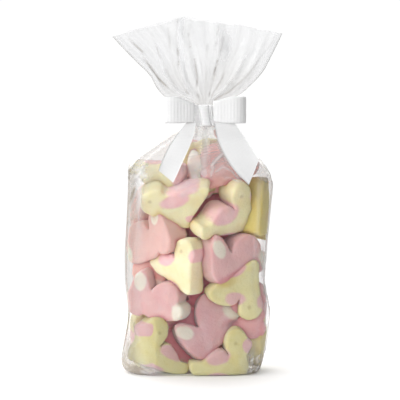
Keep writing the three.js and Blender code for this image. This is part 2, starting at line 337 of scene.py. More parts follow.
# Warmer, more salmon pink pieces.
WARM = {
    "L": 0.4, "V": 0.9, "M": 0.12, "J": 0.55, "I": 0.5, "N": 0.0, "O": 0.1,
    "Q": 0.1, "S": 0.2, "X12": 0.0, "X10": 0.0, "X11": 0.0, "X5": 0.9, "X9": 0.9,
}
THICK = 18.5
BETWEEN_SHADOW_REACH = 3.6  # how far from a neighbour the painted shade between pieces reaches
EDGE = 1.7  # rounding where the cut faces meet the sides
AROUND_PIECE = 104

# Resting places found by settling the pieces in the bag: name, kind, scale,
# place in mm, turn as a quaternion (w, x, y, z).
PIECES = [
    ("B", "b", 0.97, (-14.9, -15.5, 123.9), (0.974, 0.225, -0.008, -0.034)),
    ("C", "d", 1.06, (15.5, -14.1, 117.4), (0.948, 0.145, -0.028, 0.280)),
    ("A", "a", 1.00, (-14.4, -13.2, 76.7), (0.959, 0.000, 0.000, -0.284)),
    ("E", "c", 1.00, (-23.8, -16.4, 19.4), (0.188, -0.162, -0.031, -0.968)),
    ("D", "c", 0.98, (13.9, -19.5, 16.0), (0.997, -0.002, 0.026, 0.070)),
    ("F", "a", 1.04, (24.6, -13.2, 59.9), (0.001, -0.991, -0.131, -0.009)),
    ("M", "r", 0.96, (-28.2, -14.2, 55.1), (0.982, 0.012, 0.069, -0.173)),
    ("N", "h", 1.04, (5.2, -11.1, 32.2), (0.884, -0.038, -0.456, 0.097)),
    ("O", "r", 1.03, (23.7, -11.9, 83.5), (0.967, 0.027, -0.119, 0.223)),
    ("L", "r", 1.02, (-30.3, -5.1, 97.1), (0.361, -0.162, 0.064, 0.916)),
    ("V", "r", 0.95, (-33.4, 2.6, 78.7), (0.166, -0.740, 0.198, 0.621)),
    ("J", "r", 0.93, (20.7, -10.3, 151.6), (0.064, 0.161, 0.135, -0.976)),
    ("I", "r", 0.97, (12.8, -0.1, 142.9), (0.982, 0.069, -0.173, -0.012)),
    ("H", "c", 0.98, (-29.9, -4.8, 133.3), (0.032, 0.991, -0.131, -0.022)),
    ("K", "c", 0.97, (43.8, 4.9, 116.7), (0.534, -0.412, 0.659, 0.333)),
    ("P", "c", 0.95, (40.9, 3.4, 24.8), (0.524, -0.454, 0.603, 0.395)),
    ("Q", "r", 1.02, (-16.4, 0.2, 27.5), (0.033, 0.636, 0.096, -0.765)),
    ("S", "r", 0.90, (32.9, -7.8, 43.4), (0.705, 0.049, -0.705, 0.049)),
    ("U", "c", 0.92, (2.1, 7.4, 143.2), (0.625, -0.314, -0.698, -0.156)),
    ("X0", "c", 0.96, (-31.3, 18.0, 21.3), (0.732, -0.082, 0.664, 0.131)),
    ("X1", "r", 0.97, (6.4, 22.6, 16.3), (0.998, -0.019, 0.052, 0.002)),
    ("X2", "c", 1.03, (-22.4, 20.7, 41.5), (-0.137, 0.396, 0.077, 0.905)),
    ("X3", "r", 1.01, (0.8, 21.6, 52.0), (0.578, -0.016, 0.815, 0.026)),
    ("X4", "r", 0.98, (24.1, 21.4, 50.7), (0.780, -0.358, -0.106, -0.502)),
    ("X5", "r", 0.97, (-23.5, 19.6, 83.1), (-0.106, 0.200, 0.014, 0.974)),
    ("X6", "r", 0.96, (23.2, 19.2, 75.8), (0.032, 0.950, -0.101, 0.293)),
    ("X7", "r", 1.00, (-26.5, 18.1, 111.2), (0.988, 0.014, 0.088, 0.126)),
    ("X8", "r", 0.99, (14.0, 22.6, 113.7), (0.644, 0.009, 0.765, -0.016)),
    ("X9", "r", 0.95, (1.0, 11.3, 141.0), (0.781, 0.106, -0.600, 0.138)),
    ("X10", "r", 1.04, (-0.8, 4.6, 51.4), (0.866, 0.000, -0.500, 0.000)),
    ("X11", "r", 1.00, (6.1, 6.2, 93.9), (0.643, 0.000, -0.766, 0.000)),
    ("X12", "r", 0.80, (11.7, 8.4, 123.7), (0.996, 0.000, -0.087, 0.000)),
]


def closed_curve(points, count):
    """Closed Catmull-Rom curve, evenly spaced by length."""
    p = np.array(points, float)
    n = len(p)
    dense = []
    for i in range(n):
        a, b, c, d = p[i - 1], p[i], p[(i + 1) % n], p[(i + 2) % n]
        for k in range(24):
            t = k / 24
            dense.append(
                0.5
                * (
                    2 * b
                    + (c - a) * t
                    + (2 * a - 5 * b + 4 * c - d) * t * t
                    + (3 * b - a - 3 * c + d) * t**3
                )
            )
    dense = np.array(dense)
    step = np.linalg.norm(np.roll(dense, -1, 0) - dense, axis=1)
    along = np.concatenate([[0], np.cumsum(step)])
    ring = np.vstack([dense, dense[:1]])
    want = np.arange(count) / count * along[-1]
    out = np.stack([np.interp(want, along, ring[:, k]) for k in (0, 1)], 1)
    area = 0.5 * np.sum(
        out[:, 0] * np.roll(out[:, 1], -1) - np.roll(out[:, 0], -1) * out[:, 1]
    )
    return out if area > 0 else out[::-1]


def polygon_distance(poly, q):
    """Signed distance of points q (m, 2) to a polygon, and the outward way."""
    a = poly
    b = np.roll(poly, -1, 0)
    e = b - a
    w = q[:, None, :] - a[None]
    t = np.clip((w * e[None]).sum(-1) / (e * e).sum(-1)[None], 0, 1)
    d = w - e[None] * t[..., None]
    dist2 = (d * d).sum(-1)
    k = dist2.argmin(1)
    near = d[np.arange(len(q)), k]
    dist = np.sqrt(dist2[np.arange(len(q)), k])
    up = (a[None, :, 1] <= q[:, None, 1]) & (b[None, :, 1] > q[:, None, 1])
    down = (a[None, :, 1] > q[:, None, 1]) & (b[None, :, 1] <= q[:, None, 1])
    side = e[None, :, 0] * w[..., 1] - e[None, :, 1] * w[..., 0]
    winding = (up & (side > 0)).sum(1) - (down & (side < 0)).sum(1)
    inside = winding != 0
    unit = near / np.maximum(dist, 1e-9)[:, None]
    return np.where(inside, -dist, dist), np.where(inside[:, None], -unit, unit)


def slab(points):
    """Unit slab mesh of one shape: local points (x, y, z) and faces."""
    ring = closed_curve(points, AROUND_PIECE)
    n = AROUND_PIECE
    ahead = np.roll(ring, -1, 0) - np.roll(ring, 1, 0)
    out = np.stack([ahead[:, 1], -ahead[:, 0]], 1)
    out /= np.linalg.norm(out, axis=1)[:, None]
    for _ in range(2):
        out = (np.roll(out, 1, 0) + out * 2 + np.roll(out, -1, 0)) / 4
        out /= np.linalg.norm(out, axis=1)[:, None]
    half = THICK / 2
    rows = []
    for k in range(4):
        a = math.radians(90 * (k + 0.35) / 3.35)
        rows.append((EDGE * (1 - math.sin(a)), -half + EDGE * (1 - math.cos(a))))
    rows[0] = (EDGE * 0.95, -half)
    for k in range(1, 9):
        rows.append((0.0, mix(-half + EDGE, half - EDGE, k / 9)))
    rows += [(r, -y) for r, y in reversed(rows[:4])]
    pts = []
    for inset, y in rows:
        r2 = ring - out * inset
        pts.append(np.stack([r2[:, 0], np.full(n, y), r2[:, 1]], 1))
    pts = np.vstack(pts)
    faces = [tuple(f[::-1]) for f in grid_faces(len(rows), n)]

    # the two cut faces, filled with an even net of points
    edge = ring - out * EDGE * 0.95
    step = 1.75
    inner = []
    lo, hi = edge.min(0), edge.max(0)
    for j, z in enumerate(np.arange(lo[1], hi[1], step * 0.866)):
        for x in np.arange(lo[0] + (j % 2) * step / 2, hi[0], step):
            inner.append((x, z))
    inner = np.array(inner)
    d, _ = polygon_distance(edge, inner)
    inner = inner[d < -1.0]
    coords = [Vector(v) for v in edge] + [Vector(v) for v in inner]
    result = geometry.delaunay_2d_cdt(coords, [], [list(range(n))], 1, 1e-4)
    out_faces, origin = result[2], result[3]
    back = [o[0] for o in origin]
    for side, base_row in ((-1, 0), (1, len(rows) - 1)):
        start = len(pts)
        y = side * half
        pts = np.vstack([pts, np.stack([inner[:, 0], np.full(len(inner), y), inner[:, 1]], 1)])
        for f in out_faces:
            ids = [back[i] for i in f]
            ids = [base_row * n + i if i < n else start + i - n for i in ids]
            p0, p1, p2 = (pts[i] for i in ids[:3])
            facing = np.cross(p1 - p0, p2 - p0)[1]
            faces.append(tuple(ids if facing * side > 0 else ids[::-1]))
    return ring, pts, faces


def quaternion_matrix(q):
    w, x, y, z = np.array(q) / np.linalg.norm(q)
    return np.array(
        [
            [1 - 2 * (y * y + z * z), 2 * (x * y - z * w), 2 * (x * z + y * w)],
            [2 * (x * y + z * w), 1 - 2 * (x * x + z * z), 2 * (y * z - x * w)],
            [2 * (x * z - y * w), 2 * (y * z + x * w), 1 - 2 * (x * x + y * y)],
        ]
    )


def vertex_normals(pts, faces):
    tri = []
    for f in faces:
        for k in range(1, len(f) - 1):
            tri.append((f[0], f[k], f[k + 1]))
    tri = np.array(tri)
    c = np.cross(pts[tri[:, 1]] - pts[tri[:, 0]], pts[tri[:, 2]] - pts[tri[:, 0]])
    out = np.zeros_like(pts)
    for k in range(3):
        np.add.at(out, tri[:, k], c)
    return out / np.maximum(np.linalg.norm(out, axis=1), 1e-12)[:, None]


def bag_limit(p, gap):
    """How far out points are, as a share of the bag's section, and its middle."""
    middle, width, depth, power = section(p[:, 2])
    w, d = np.maximum(width - gap, 1), np.maximum(depth - gap, 1)
    k = (np.abs((p[:, 0] - middle) / w) ** power + np.abs(p[:, 1] / d) ** power) ** (
        1 / power
    )
    return k, middle


def build_pieces():
    shapes = {"c": slab(CHICK), "d": slab(ROUND), "r": slab(RABBIT), "b": slab(BROAD), "a": slab(TALL)}
    shapes["h"] = slab(HUMPED)
    made = []
    for number, (name, kind, scale, place, turn) in enumerate(PIECES):
        ring, base, faces = shapes[kind]
        r = np.random.RandomState(900 + number)
        lean = r.uniform(-0.05, 0.05, 2)
        taper = r.uniform(-0.0022, 0.0022)
        # dents and swellings of a soft cut piece, along the surface's normal
        local = base.copy()
        local[:, 0] *= 1 + taper * base[:, 1]
        local[:, 2] *= 1 + taper * base[:, 1]
        local[:, 0] += lean[0] * base[:, 1]
        local[:, 2] += lean[1] * base[:, 1]
        n = vertex_normals(local, faces)
        flat = np.abs(n[:, 1]) > 0.8
        d2, _ = polygon_distance(ring, base[:, (0, 2)])
        swell = np.where(
            flat,
            0.55 * smooth(0, 8, -d2),
            0.45 * (1 - (2 * base[:, 1] / THICK) ** 2),
        )
        lumps = 0.5 * noise(base / 9.0, number * 3 + 1) + 0.16 * noise(
            base / 3.4, number * 3 + 2
        )
        local += n * (swell + lumps)[:, None]
        turned = quaternion_matrix(turn)
        world = local * scale @ turned.T + np.array(place)
        patch = np.full(len(base), 9.0)
        for cx, cz, rx, rz, tilt in OTHER_PATCHES.get(name, PATCHES[kind]):
            cx, cz = cx + r.uniform(-0.7, 0.7), cz + r.uniform(-0.5, 0.5)
            grow = r.uniform(0.93, 1.08)
            c, s = math.cos(math.radians(tilt)), math.sin(math.radians(tilt))
            dx, dz = base[:, 0] - cx, base[:, 2] - cz
            patch = np.minimum(
                patch,
                np.hypot((dx * c + dz * s) / (rx * grow), (dz * c - dx * s) / (rz * grow)),
            )
        eye = np.full(len(base), 9.0)
        if EYES[kind]:
            eye = np.hypot(base[:, 0] - EYES[kind][0], base[:, 2] - EYES[kind][1])
            eye += 9 * (np.abs(base[:, 1]) < THICK / 2 - 0.6)
        # vary: painted light per piece (x), painted gap shade (y), and later nearness for the painted shade between
        # pieces (z)
        made.append(
            dict(
                patch=patch, eye=np.minimum(eye, 9),
                name=name, kind=kind, scale=scale, turn=turned, place=np.array(place, float),
                ring=ring * scale, half=THICK / 2 * scale, lean=lean, base=base, faces=faces,
                world=world, number=number,
                vary=np.array([PAINTED_LIGHT_PER_PIECE.get(name, r.uniform(0.86, 1.0)), GAP_SHADOW_AMOUNT.get(name, 0.0), 0.0]),
            )
        )

    # where two pieces meet, each gives way by half of what they share
    moves = []
    deepest = 0
    for a in made:
        move = np.zeros_like(a["world"])
        a["close"] = np.zeros(len(a["world"]))
        for b in made:
            if a is b or np.linalg.norm(a["place"] - b["place"]) > 58:
                continue
            q = (a["world"] - b["place"]) @ b["turn"]
            q2 = np.stack([q[:, 0] - b["lean"][0] * q[:, 1], q[:, 2] - b["lean"][1] * q[:, 1]], 1)
            lo, hi = b["ring"].min(0), b["ring"].max(0)
            near = (
                (np.abs(q[:, 1]) < b["half"] + BETWEEN_SHADOW_REACH)
                & (q2 > lo - BETWEEN_SHADOW_REACH).all(1)
                & (q2 < hi + BETWEEN_SHADOW_REACH).all(1)
            )
            if not near.any():
                continue
            d2, way2 = polygon_distance(b["ring"], q2[near])
            dy = np.abs(q[near, 1]) - b["half"]
            inner = np.maximum(d2, dy)
            # nearness to a neighbour, for the painted shade between pieces
            a["close"][near] = np.maximum(a["close"][near], 1 - np.clip(inner / BETWEEN_SHADOW_REACH, 0, 1))
            hit = inner < 0.15
            if not hit.any():
                continue
            by_side = d2 > dy
            way = np.zeros((near.sum(), 3))
            way[:, 0] = np.where(by_side, way2[:, 0], 0)
            way[:, 2] = np.where(by_side, way2[:, 1], 0)
            way[:, 1] = np.where(by_side, 0, np.sign(q[near, 1]))
            push = np.where(hit, 0.5 * (0.15 - inner) + 0.05, 0)
            deepest = max(deepest, float(push.max()))
            move[near] += (way * push[:, None]) @ b["turn"].T
        size = np.linalg.norm(move, axis=1)
        move *= (np.minimum(size, 4.5) / np.maximum(size, 1e-9))[:, None]
        moves.append(move)
    print("deepest push mm", round(deepest, 2))
    for a, move in zip(made, moves):
        p = a["world"] + move
        # pressed flat against the film and the table
        k, middle = bag_limit(p, 0.9)
        over = k > 1
        p[over, 0] = middle[over] + (p[over, 0] - middle[over]) / k[over]
        p[over, 1] /= k[over]
        # and where the sides of the bag fold in
        middle, width, depth, power = section(p[:, 2])
        out = np.clip(np.abs(p[:, 1]) / np.maximum(depth - 0.9, 1), 0, 1)
        fold = GUSSET_DEPTH * np.exp(-((p[:, 1] / 6) ** 2))
        fold *= smooth(4, 26, p[:, 2]) * (1 - smooth(118, 146, p[:, 2]))
        most = np.maximum(width - 0.9, 1) * (1 - out**power) ** (1 / power) - fold
        beyond = (np.abs(p[:, 0] - middle) > most) & (np.abs(p[:, 1]) < 15)
        p[beyond, 0] = (middle + np.sign(p[:, 0] - middle) * most)[beyond]
        p[:, 2] = np.maximum(p[:, 2], 0.6)
        a["world"] = p
    return made


# ------------------------------------------------------------ node materials
class Nodes:
    """Short calls for building a material's node tree."""

    def __init__(self, name):
        self.material = bpy.data.materials.new(name)
        self.material.use_nodes = True
        self.tree = self.material.node_tree
        for n in list(self.tree.nodes):
            self.tree.nodes.remove(n)
        self.output = self.tree.nodes.new("ShaderNodeOutputMaterial")

    def add(self, kind, **settings):
        node = self.tree.nodes.new("ShaderNode" + kind)
        for key, value in settings.items():
            setattr(node, key, value)
        return node

    def link(self, a, b):
        self.tree.links.new(a, b)

    def put(self, socket, value):
        if isinstance(value, bpy.types.NodeSocket):
            self.link(value, socket)
        elif value is not None:
            socket.default_value = value

    def attribute(self, name, output="Vector"):
        return self.add("Attribute", attribute_name=name).outputs[output]

    def math(self, operation, a, b=None, c=None, clamp=False):
        node = self.add("Math", operation=operation, use_clamp=clamp)
        for socket, value in zip(node.inputs, (a, b, c)):
            self.put(socket, value)
        return node.outputs[0]

    def split(self, vector):
        node = self.add("SeparateXYZ")
        self.link(vector, node.inputs[0])
        return node.outputs

    def join(self, x, y, z):
        node = self.add("CombineXYZ")
        for socket, value in zip(node.inputs, (x, y, z)):
            self.put(socket, value)
        return node.outputs[0]

    def vector(self, operation, a, b=None, scale=None):
        node = self.add("VectorMath", operation=operation)
        self.put(node.inputs[0], a)
        if b is not None:
            self.put(node.inputs[1], b)
        if scale is not None:
            self.put(node.inputs["Scale"], scale)
        return node.outputs[0]

    def noise(self, vector, scale, detail=2.0, roughness=0.5, output="Fac"):
        node = self.add("TexNoise")
        self.link(vector, node.inputs["Vector"])
        node.inputs["Scale"].default_value = scale
        node.inputs["Detail"].default_value = detail
        node.inputs["Roughness"].default_value = roughness
        return node.outputs[output]

    def step(self, value, low, high, out_low=0.0, out_high=1.0):
        node = self.add("MapRange", interpolation_type="SMOOTHSTEP")
        self.put(node.inputs["Value"], value)
        node.inputs["From Min"].default_value = low
        node.inputs["From Max"].default_value = high
        node.inputs["To Min"].default_value = out_low
        node.inputs["To Max"].default_value = out_high
        return node.outputs[0]

    def blend(self, factor, a, b, mode="MIX"):
        node = self.add("Mix", data_type="RGBA", blend_type=mode)
        self.put(node.inputs[0], factor)
        for socket, value in ((node.inputs[6], a), (node.inputs[7], b)):
            self.put(socket, value)
        return node.outputs[2]

    def bump(self, height, strength, distance, normal=None):
        node = self.add("Bump")
        self.put(node.inputs["Height"], height)
        node.inputs["Strength"].default_value = strength
        node.inputs["Distance"].default_value = distance
        if normal is not None:
            self.link(normal, node.inputs["Normal"])
        return node.outputs[0]

    def ellipse(self, x, z, cx, cz, rx, rz, tilt=0.0):
        """Distance from an ellipse's middle, 1 on its edge."""
        c, s = math.cos(math.radians(tilt)), math.sin(math.radians(tilt))
        dx = self.math("SUBTRACT", x, cx)
        dz = self.math("SUBTRACT", z, cz)
        u = self.math(
            "MULTIPLY_ADD", dx, c / rx, self.math("MULTIPLY", dz, s / rx)
        )
        v = self.math(
            "MULTIPLY_ADD", dx, -s / rz, self.math("MULTIPLY", dz, c / rz)
        )
        return self.math(
            "SQRT", self.math("MULTIPLY_ADD", u, u, self.math("MULTIPLY", v, v))
        )


def colour(r, g, b):
    """sRGB 0-255 to linear RGBA."""
    out = []
    for v in (r, g, b):
        v /= 255
        out.append(v / 12.92 if v <= 0.04045 else ((v + 0.055) / 1.055) ** 2.4)
    return (*out, 1.0)


def marshmallow_material(kind):
    m = Nodes("marshmallow_" + ("chick" if kind == "c" else "rabbit"))
    local = m.attribute("local")
    vary = m.split(m.attribute("vary"))
    x, y, z = m.split(local)
    wobble = m.noise(local, 0.16, 3.0, 0.6)
    wobble = m.math("MULTIPLY_ADD", wobble, 0.4, -0.2)
    edge = m.math("ADD", m.attribute("patch", "Fac"), wobble)
    patch = m.step(edge, 1.20, 0.82)

    yellow = colour(236, 229, 191)
    yellow_deep = colour(231, 220, 172)
    pink = colour(236, 194, 194)
    pink_deep = colour(231, 181, 184)
    cream = colour(244, 238, 222)
    blotch = m.noise(local, 0.09, 4.0, 0.6)
    if kind == "c":
        base = m.blend(m.step(blotch, 0.35, 0.7), yellow, yellow_deep)
        patch_colour = m.blend(m.step(blotch, 0.4, 0.7), pink, pink_deep)
        base = m.blend(patch, base, patch_colour)
        eye = m.step(m.attribute("eye", "Fac"), 2.2, 0.9)
        base = m.blend(m.math("MULTIPLY", eye, 0.4), base, colour(170, 150, 110))
    else:
        base = m.blend(m.step(blotch, 0.35, 0.7), pink, pink_deep)
        base = m.blend(m.attribute("warm", "Fac"), base, colour(238, 200, 178))
        base = m.blend(patch, base, cream)

    # starch powder: fine pale specks
    powder = m.noise(local, 1.6, 3.0, 0.7)
    specks = m.step(powder, 0.5, 0.72)
    base = m.blend(m.math("MULTIPLY", specks, 0.2), base, (1.0, 0.98, 0.95, 1))
    # painted shade: pieces in the gaps get a deeper, more saturated colour, in place of the shade there
    if kind == "c":
        gap_shadow_colour = m.blend(0.75, base, colour(228, 206, 104))
    else:
        gap_shadow_colour = m.blend(0.85, base, colour(216, 112, 128))
    base = m.blend(vary[1], base, gap_shadow_colour)
    # painted shade: a deeper, darker colour where the sweets lie close together, in place of the shade between them
    between_shadow = m.math("MULTIPLY", m.math("POWER", vary[2], 1.5), 0.62)
    if kind == "c":
        between_shadow_colour = m.blend(patch, colour(214, 176, 96), colour(204, 108, 116))
    else:
        between_shadow_colour = m.blend(patch, colour(204, 96, 108), colour(222, 188, 160))
    base = m.blend(between_shadow, base, between_shadow_colour)
    # painted light and shade: each piece's colour is scaled darker or paler by its value, the blue channel most on
    # the yellow parts; unlisted pieces get a random paleness
    scaled = m.add("Mix", data_type="RGBA", blend_type="MULTIPLY")
    scaled.inputs[0].default_value = 1.0
    m.link(base, scaled.inputs[6])
    painted_light_scale = m.add("CombineColor")
    m.link(vary[0], painted_light_scale.inputs[0])
    m.link(m.math("POWER", vary[0], 1.0 if kind == "c" else 1.06), painted_light_scale.inputs[1])
    power = m.math("MULTIPLY_ADD", patch, -0.45, 1.5) if kind == "c" else 1.06
    m.link(m.math("POWER", vary[0], power), painted_light_scale.inputs[2])
    m.link(painted_light_scale.outputs[0], scaled.inputs[7])

    shader = m.add("BsdfPrincipled")
    m.link(scaled.outputs[2], shader.inputs["Base Color"])
    shader.inputs["Roughness"].default_value = 0.78
    shader.inputs["Specular IOR Level"].default_value = 0.25
    shader.inputs["Subsurface Weight"].default_value = 0.5
    shader.inputs["Subsurface Radius"].default_value = (1.0, 0.4, 0.32) if kind == "r" else (1.0, 0.75, 0.4)
    shader.inputs["Subsurface Scale"].default_value = 0.006
    shader.inputs["Sheen Weight"].default_value = 0.15
    shader.inputs["Sheen Roughness"].default_value = 0.5
    pits = m.noise(local, 0.5, 4.0, 0.62)
    drag = m.noise(m.join(x, m.math("MULTIPLY", y, 0.12), z), 0.75, 2.0, 0.5)
    normal = m.bump(pits, 0.5, 0.0009)
    normal = m.bump(drag, 0.35, 0.0005, normal)
    normal = m.bump(powder, 0.5, 0.00025, normal)
    m.link(normal, shader.inputs["Normal"])
    m.link(shader.outputs[0], m.output.inputs["Surface"])
    return m.material


def join_pieces(made, kind, name):
    points, faces, local, vary, patch, eye, warm = [], [], [], [], [], [], []
    count = 0
    for a in made:
        if a["kind"] not in kind:
            continue
        points.append(a["world"])
        faces += [tuple(i + count for i in f) for f in a["faces"]]
        # every piece reads its own part of the noise
        local.append(a["base"] + 90.0 * a["number"])
        patch.append(a["patch"])
        eye.append(a["eye"])
        own = np.tile(a["vary"], (len(a["world"]), 1))
        # z: nearness to neighbours, for the painted shade between pieces
        own[:, 2] = a["close"]
        vary.append(own)
        warm.append(np.full(len(a["world"]), WARM.get(a["name"], 0.25 + 0.1 * (a["number"] % 4))))
        count += len(a["world"])
    obj = make_object(
        name,
        np.vstack(points),
        faces,
        (
            ("local", np.vstack(local)),
            ("vary", np.vstack(vary)),
            ("patch", np.concatenate(patch)),
            ("eye", np.concatenate(eye)),
            ("warm", np.concatenate(warm)),
        ),
    )
    return obj


made = build_pieces()
chicks = join_pieces(made, "cbad", "marshmallow_chicks")
rabbits = join_pieces(made, "rh", "marshmallow_rabbits")
chicks.data.materials.append(marshmallow_material("c"))
rabbits.data.materials.append(marshmallow_material("r"))
for obj in (chicks, rabbits):
    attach(obj, "root")
print("triangles", [sum(len(p.vertices) - 2 for p in o.data.polygons) for o in (chicks, rabbits)])


# ---------------------------------------------------------------- clear film
FILM_COLUMNS = 300
# Creases of the flare's front: rows of (x, z) in mm, height, half width.
FLARE_CREASES = [
    ([(-14.8, 249.5), (-15.6, 238.0), (-14.2, 227.0), (-13.6, 216.0)], -1.5, 0.9),
    ([(-12.0, 249.5), (-12.4, 238.0), (-10.8, 224.0), (-9.0, 208.0), (-6.0, 196.0)], 1.6, 2.2),
    ([(-6.4, 246.0), (-6.6, 238.0), (-5.5, 231.0)], -1.1, 0.8),
    ([(-48.7, 235.5), (-39.6, 227.4), (-37.9, 222.0), (-28.0, 208.0), (-17.0, 197.5)], -1.7, 1.1),
    ([(-45.5, 237.0), (-36.5, 228.0), (-34.5, 221.0), (-26.0, 208.0)], 1.0, 1.2),
    ([(-28.5, 231.5), (-23.2, 212.0), (-16.2, 201.5), (-9.0, 195.0)], 1.5, 2.0),
    ([(-33.0, 240.0), (-26.0, 222.0), (-19.5, 208.0)], -1.0, 1.4),
    ([(-21.0, 244.0), (-19.5, 228.0), (-15.0, 210.0), (-7.5, 198.0)], -0.9, 1.2),
    ([(13.4, 221.0), (11.2, 212.5), (9.0, 203.0), (7.8, 196.0)], -1.6, 0.8),
    ([(17.6, 238.0), (16.4, 230.0), (13.6, 219.0), (11.0, 207.0)], -1.0, 1.2),
    ([(30.5, 243.0), (28.0, 230.0), (21.0, 216.0), (14.5, 204.0), (9.5, 196.0)], -1.0, 1.3),
    ([(39.7, 228.8), (32.2, 222.0), (25.7, 209.5), (17.5, 199.6), (10.0, 193.5)], 1.3, 1.5),
    ([(52.0, 233.0), (43.0, 221.5), (33.0, 208.5), (22.0, 199.0), (12.0, 193.0)], -1.1, 1.2),
    ([(-2.4, 222.0), (-0.6, 209.0), (-1.6, 200.0), (1.5, 193.0)], -1.2, 0.9),
    ([(1.6, 219.0), (2.2, 209.0), (2.8, 198.0)], 1.2, 1.0),
    ([(6.5, 232.0), (6.0, 216.0), (5.0, 201.0), (4.8, 193.0)], -0.8, 1.1),
    ([(2.0, 245.0), (3.0, 236.0), (2.4, 228.0)], 0.8, 2.2),
    ([(14.0, 246.0), (13.0, 236.0), (11.5, 229.0)], -0.7, 1.8),
    ([(40.0, 241.0), (36.0, 234.0), (30.0, 230.5)], 0.8, 1.3),
]

# Creases of the body's front: rows of (x, z) in mm, veil (milky film, partly a painted
# highlight), grey (painted shade and reflection), half width, height.
BODY_CREASES = [
    ([(4.6, 176.4), (5.3, 163.5), (4.3, 150.9), (3.7, 140.0)], 0.36, 0, 2.4, 0.3),
    ([(-0.8, 174.3), (-1.6, 167.2)], 0.25, 0.3, 0.8, 0.3),
    ([(8.5, 147.2), (12.8, 152.7), (19.8, 158.6)], 0.55, 0, 0.8, 0.6),
    ([(12.8, 165.2), (17.1, 157.4), (21.0, 151.1), (25.7, 147.2), (30.7, 138.6)], 0.45, 0, 1.0, 0.5),
    ([(8.5, 140.2), (10.5, 147.2), (11.3, 152.7)], 0.25, 0, 1.0, 0.4),
    ([(11.3, 143.5), (17.1, 147.8), (23.3, 145.1), (29.6, 137.3)], 0.3, 0, 0.8, 0.4),
    ([(17.1, 140.4), (22.6, 140.4), (28.0, 137.3)], 0.25, 0, 0.7, 0.3),
    ([(43.2, 151.9), (47.5, 145.6), (51.7, 138.6)], 0.45, 0.7, 0.6, 0.6),
    ([(40.5, 146.0), (43.2, 139.8), (49.0, 137.4)], 0.3, 0, 1.4, 0.1),
    ([(42.0, 140.2), (41.6, 129.2), (42.4, 116.7), (42.8, 99.5)], 0.1, 0, 1.5, 0.0),
    ([(43.7, 129.2), (43.7, 113.6), (43.7, 97.1)], 0.1, 0.6, 0.5, 0.0),
    ([(-44.0, 133.7), (-46.6, 126.7), (-48.6, 121.2)], 0.55, 1.0, 0.5, 0.5),
    ([(-42.8, 132.4), (-41.1, 124.5), (-42.8, 116.7), (-47.1, 108.9)], 0.3, 0.1, 1.6, 0.4),
    ([(-48.7, 136.8), (-43.6, 140.0), (-38.2, 146.2), (-35.8, 150.2)], 0.4, 0.1, 1.2, 0.5),
    ([(-41.3, 149.5), (-36.6, 154.2), (-27.3, 159.7)], 0.35, 0.3, 0.9, 0.4),
    ([(-48.3, 147.0), (-41.3, 144.7), (-35.8, 140.0)], 0.25, 0, 1.4, 0.3),
    ([(-17.9, 132.9), (-11.7, 134.4), (-3.9, 137.6), (0.8, 140.7)], 0.22, 0, 3.0, 0.0),
    ([(-13.3, 128.2), (-7.0, 130.5), (-0.0, 133.7)], 0.18, 0, 2.6, 0.0),
    ([(-48.7, 42.1), (-49.8, 34.3), (-52.3, 24.9), (-53.4, 19.4)], 0.4, 0.5, 0.7, 0.4),
    ([(-44.8, 37.8), (-45.0, 33.1)], 0.5, 1.0, 0.5, 0.3),
    ([(-51.4, 15.9), (-52.3, 9.7), (-49.1, 5.7)], 0.45, 0.4, 0.9, 0.4),
    ([(-53.0, 8.4), (-48.3, 6.1), (-38.2, 4.9), (-28.8, 3.7)], 0.5, 0.6, 0.8, 0.3),
    ([(-47.5, 25.5), (-50.6, 17.7), (-49.8, 11.4)], 0.3, 0.1, 1.4, 0.3),
    ([(45.9, 66.6), (47.1, 58.0), (50.6, 50.2), (51.0, 42.3)], 0.4, 0.4, 0.7, 0.4),
    ([(46.7, 51.9), (47.9, 42.5), (47.1, 33.1)], 0.3, 0, 1.4, 0.3),
    ([(44.4, 92.6), (45.5, 80.9), (45.3, 67.6)], 0.35, 0.2, 1.0, 0.3),
    ([(35.8, 16.3), (36.2, 7.7), (34.6, 1.5)], 0.6, 0.9, 0.5, 0.4),
    ([(37.7, 12.4), (38.9, 6.9), (37.3, 1.5)], 0.55, 0, 0.6, 0.4),
    ([(39.7, 13.9), (40.6, 7.6), (39.7, 1.8)], 0.65, 1.0, 0.5, 0.4),
    ([(41.6, 13.0), (42.6, 8.3), (42.0, 2.0)], 0.6, 0, 0.6, 0.4),
    ([(35.8, 9.9), (40.5, 12.2), (45.1, 13.8)], 0.55, 0, 0.6, 0.4),
    ([(36.2, 6.0), (40.5, 5.2), (44.4, 8.3)], 0.6, 1.0, 0.45, 0.4),
    ([(35.0, 2.8), (39.7, 0.5), (43.6, 2.8)], 0.6, 0.3, 0.7, 0.4),
    ([(44.4, 17.3), (44.5, 11.0), (43.2, 6.3)], 0.5, 0.9, 0.5, 0.4),
]


def line_distance(px, pz, rows):
    """Distance of points to a polyline, and how far along it they are, 0 to 1."""
    rows = np.array(rows, float)
    best = np.full(px.shape, 1e9)
    where = np.zeros(px.shape)
    n = len(rows) - 1
    for i in range(n):
        a, b = rows[i], rows[i + 1]
        d = b - a
        t = np.clip(((px - a[0]) * d[0] + (pz - a[1]) * d[1]) / (d @ d), 0, 1)
        dist = np.hypot(px - a[0] - t * d[0], pz - a[1] - t * d[1])
        closer = dist < best
        best = np.where(closer, dist, best)
        where = np.where(closer, (i + t) / n, where)
    return best, where


def ridged(p, seed):
    """Noise with sharp crests, 0 to 1, like creased film."""
    return np.clip(1 - 2.2 * np.abs(noise(p, seed)), 0, 1) ** 1.6


def patch_of(x, z, cx, cz, rx, rz):
    return np.exp(-(((x - cx) / rx) ** 2 + ((z - cz) / rz) ** 2))


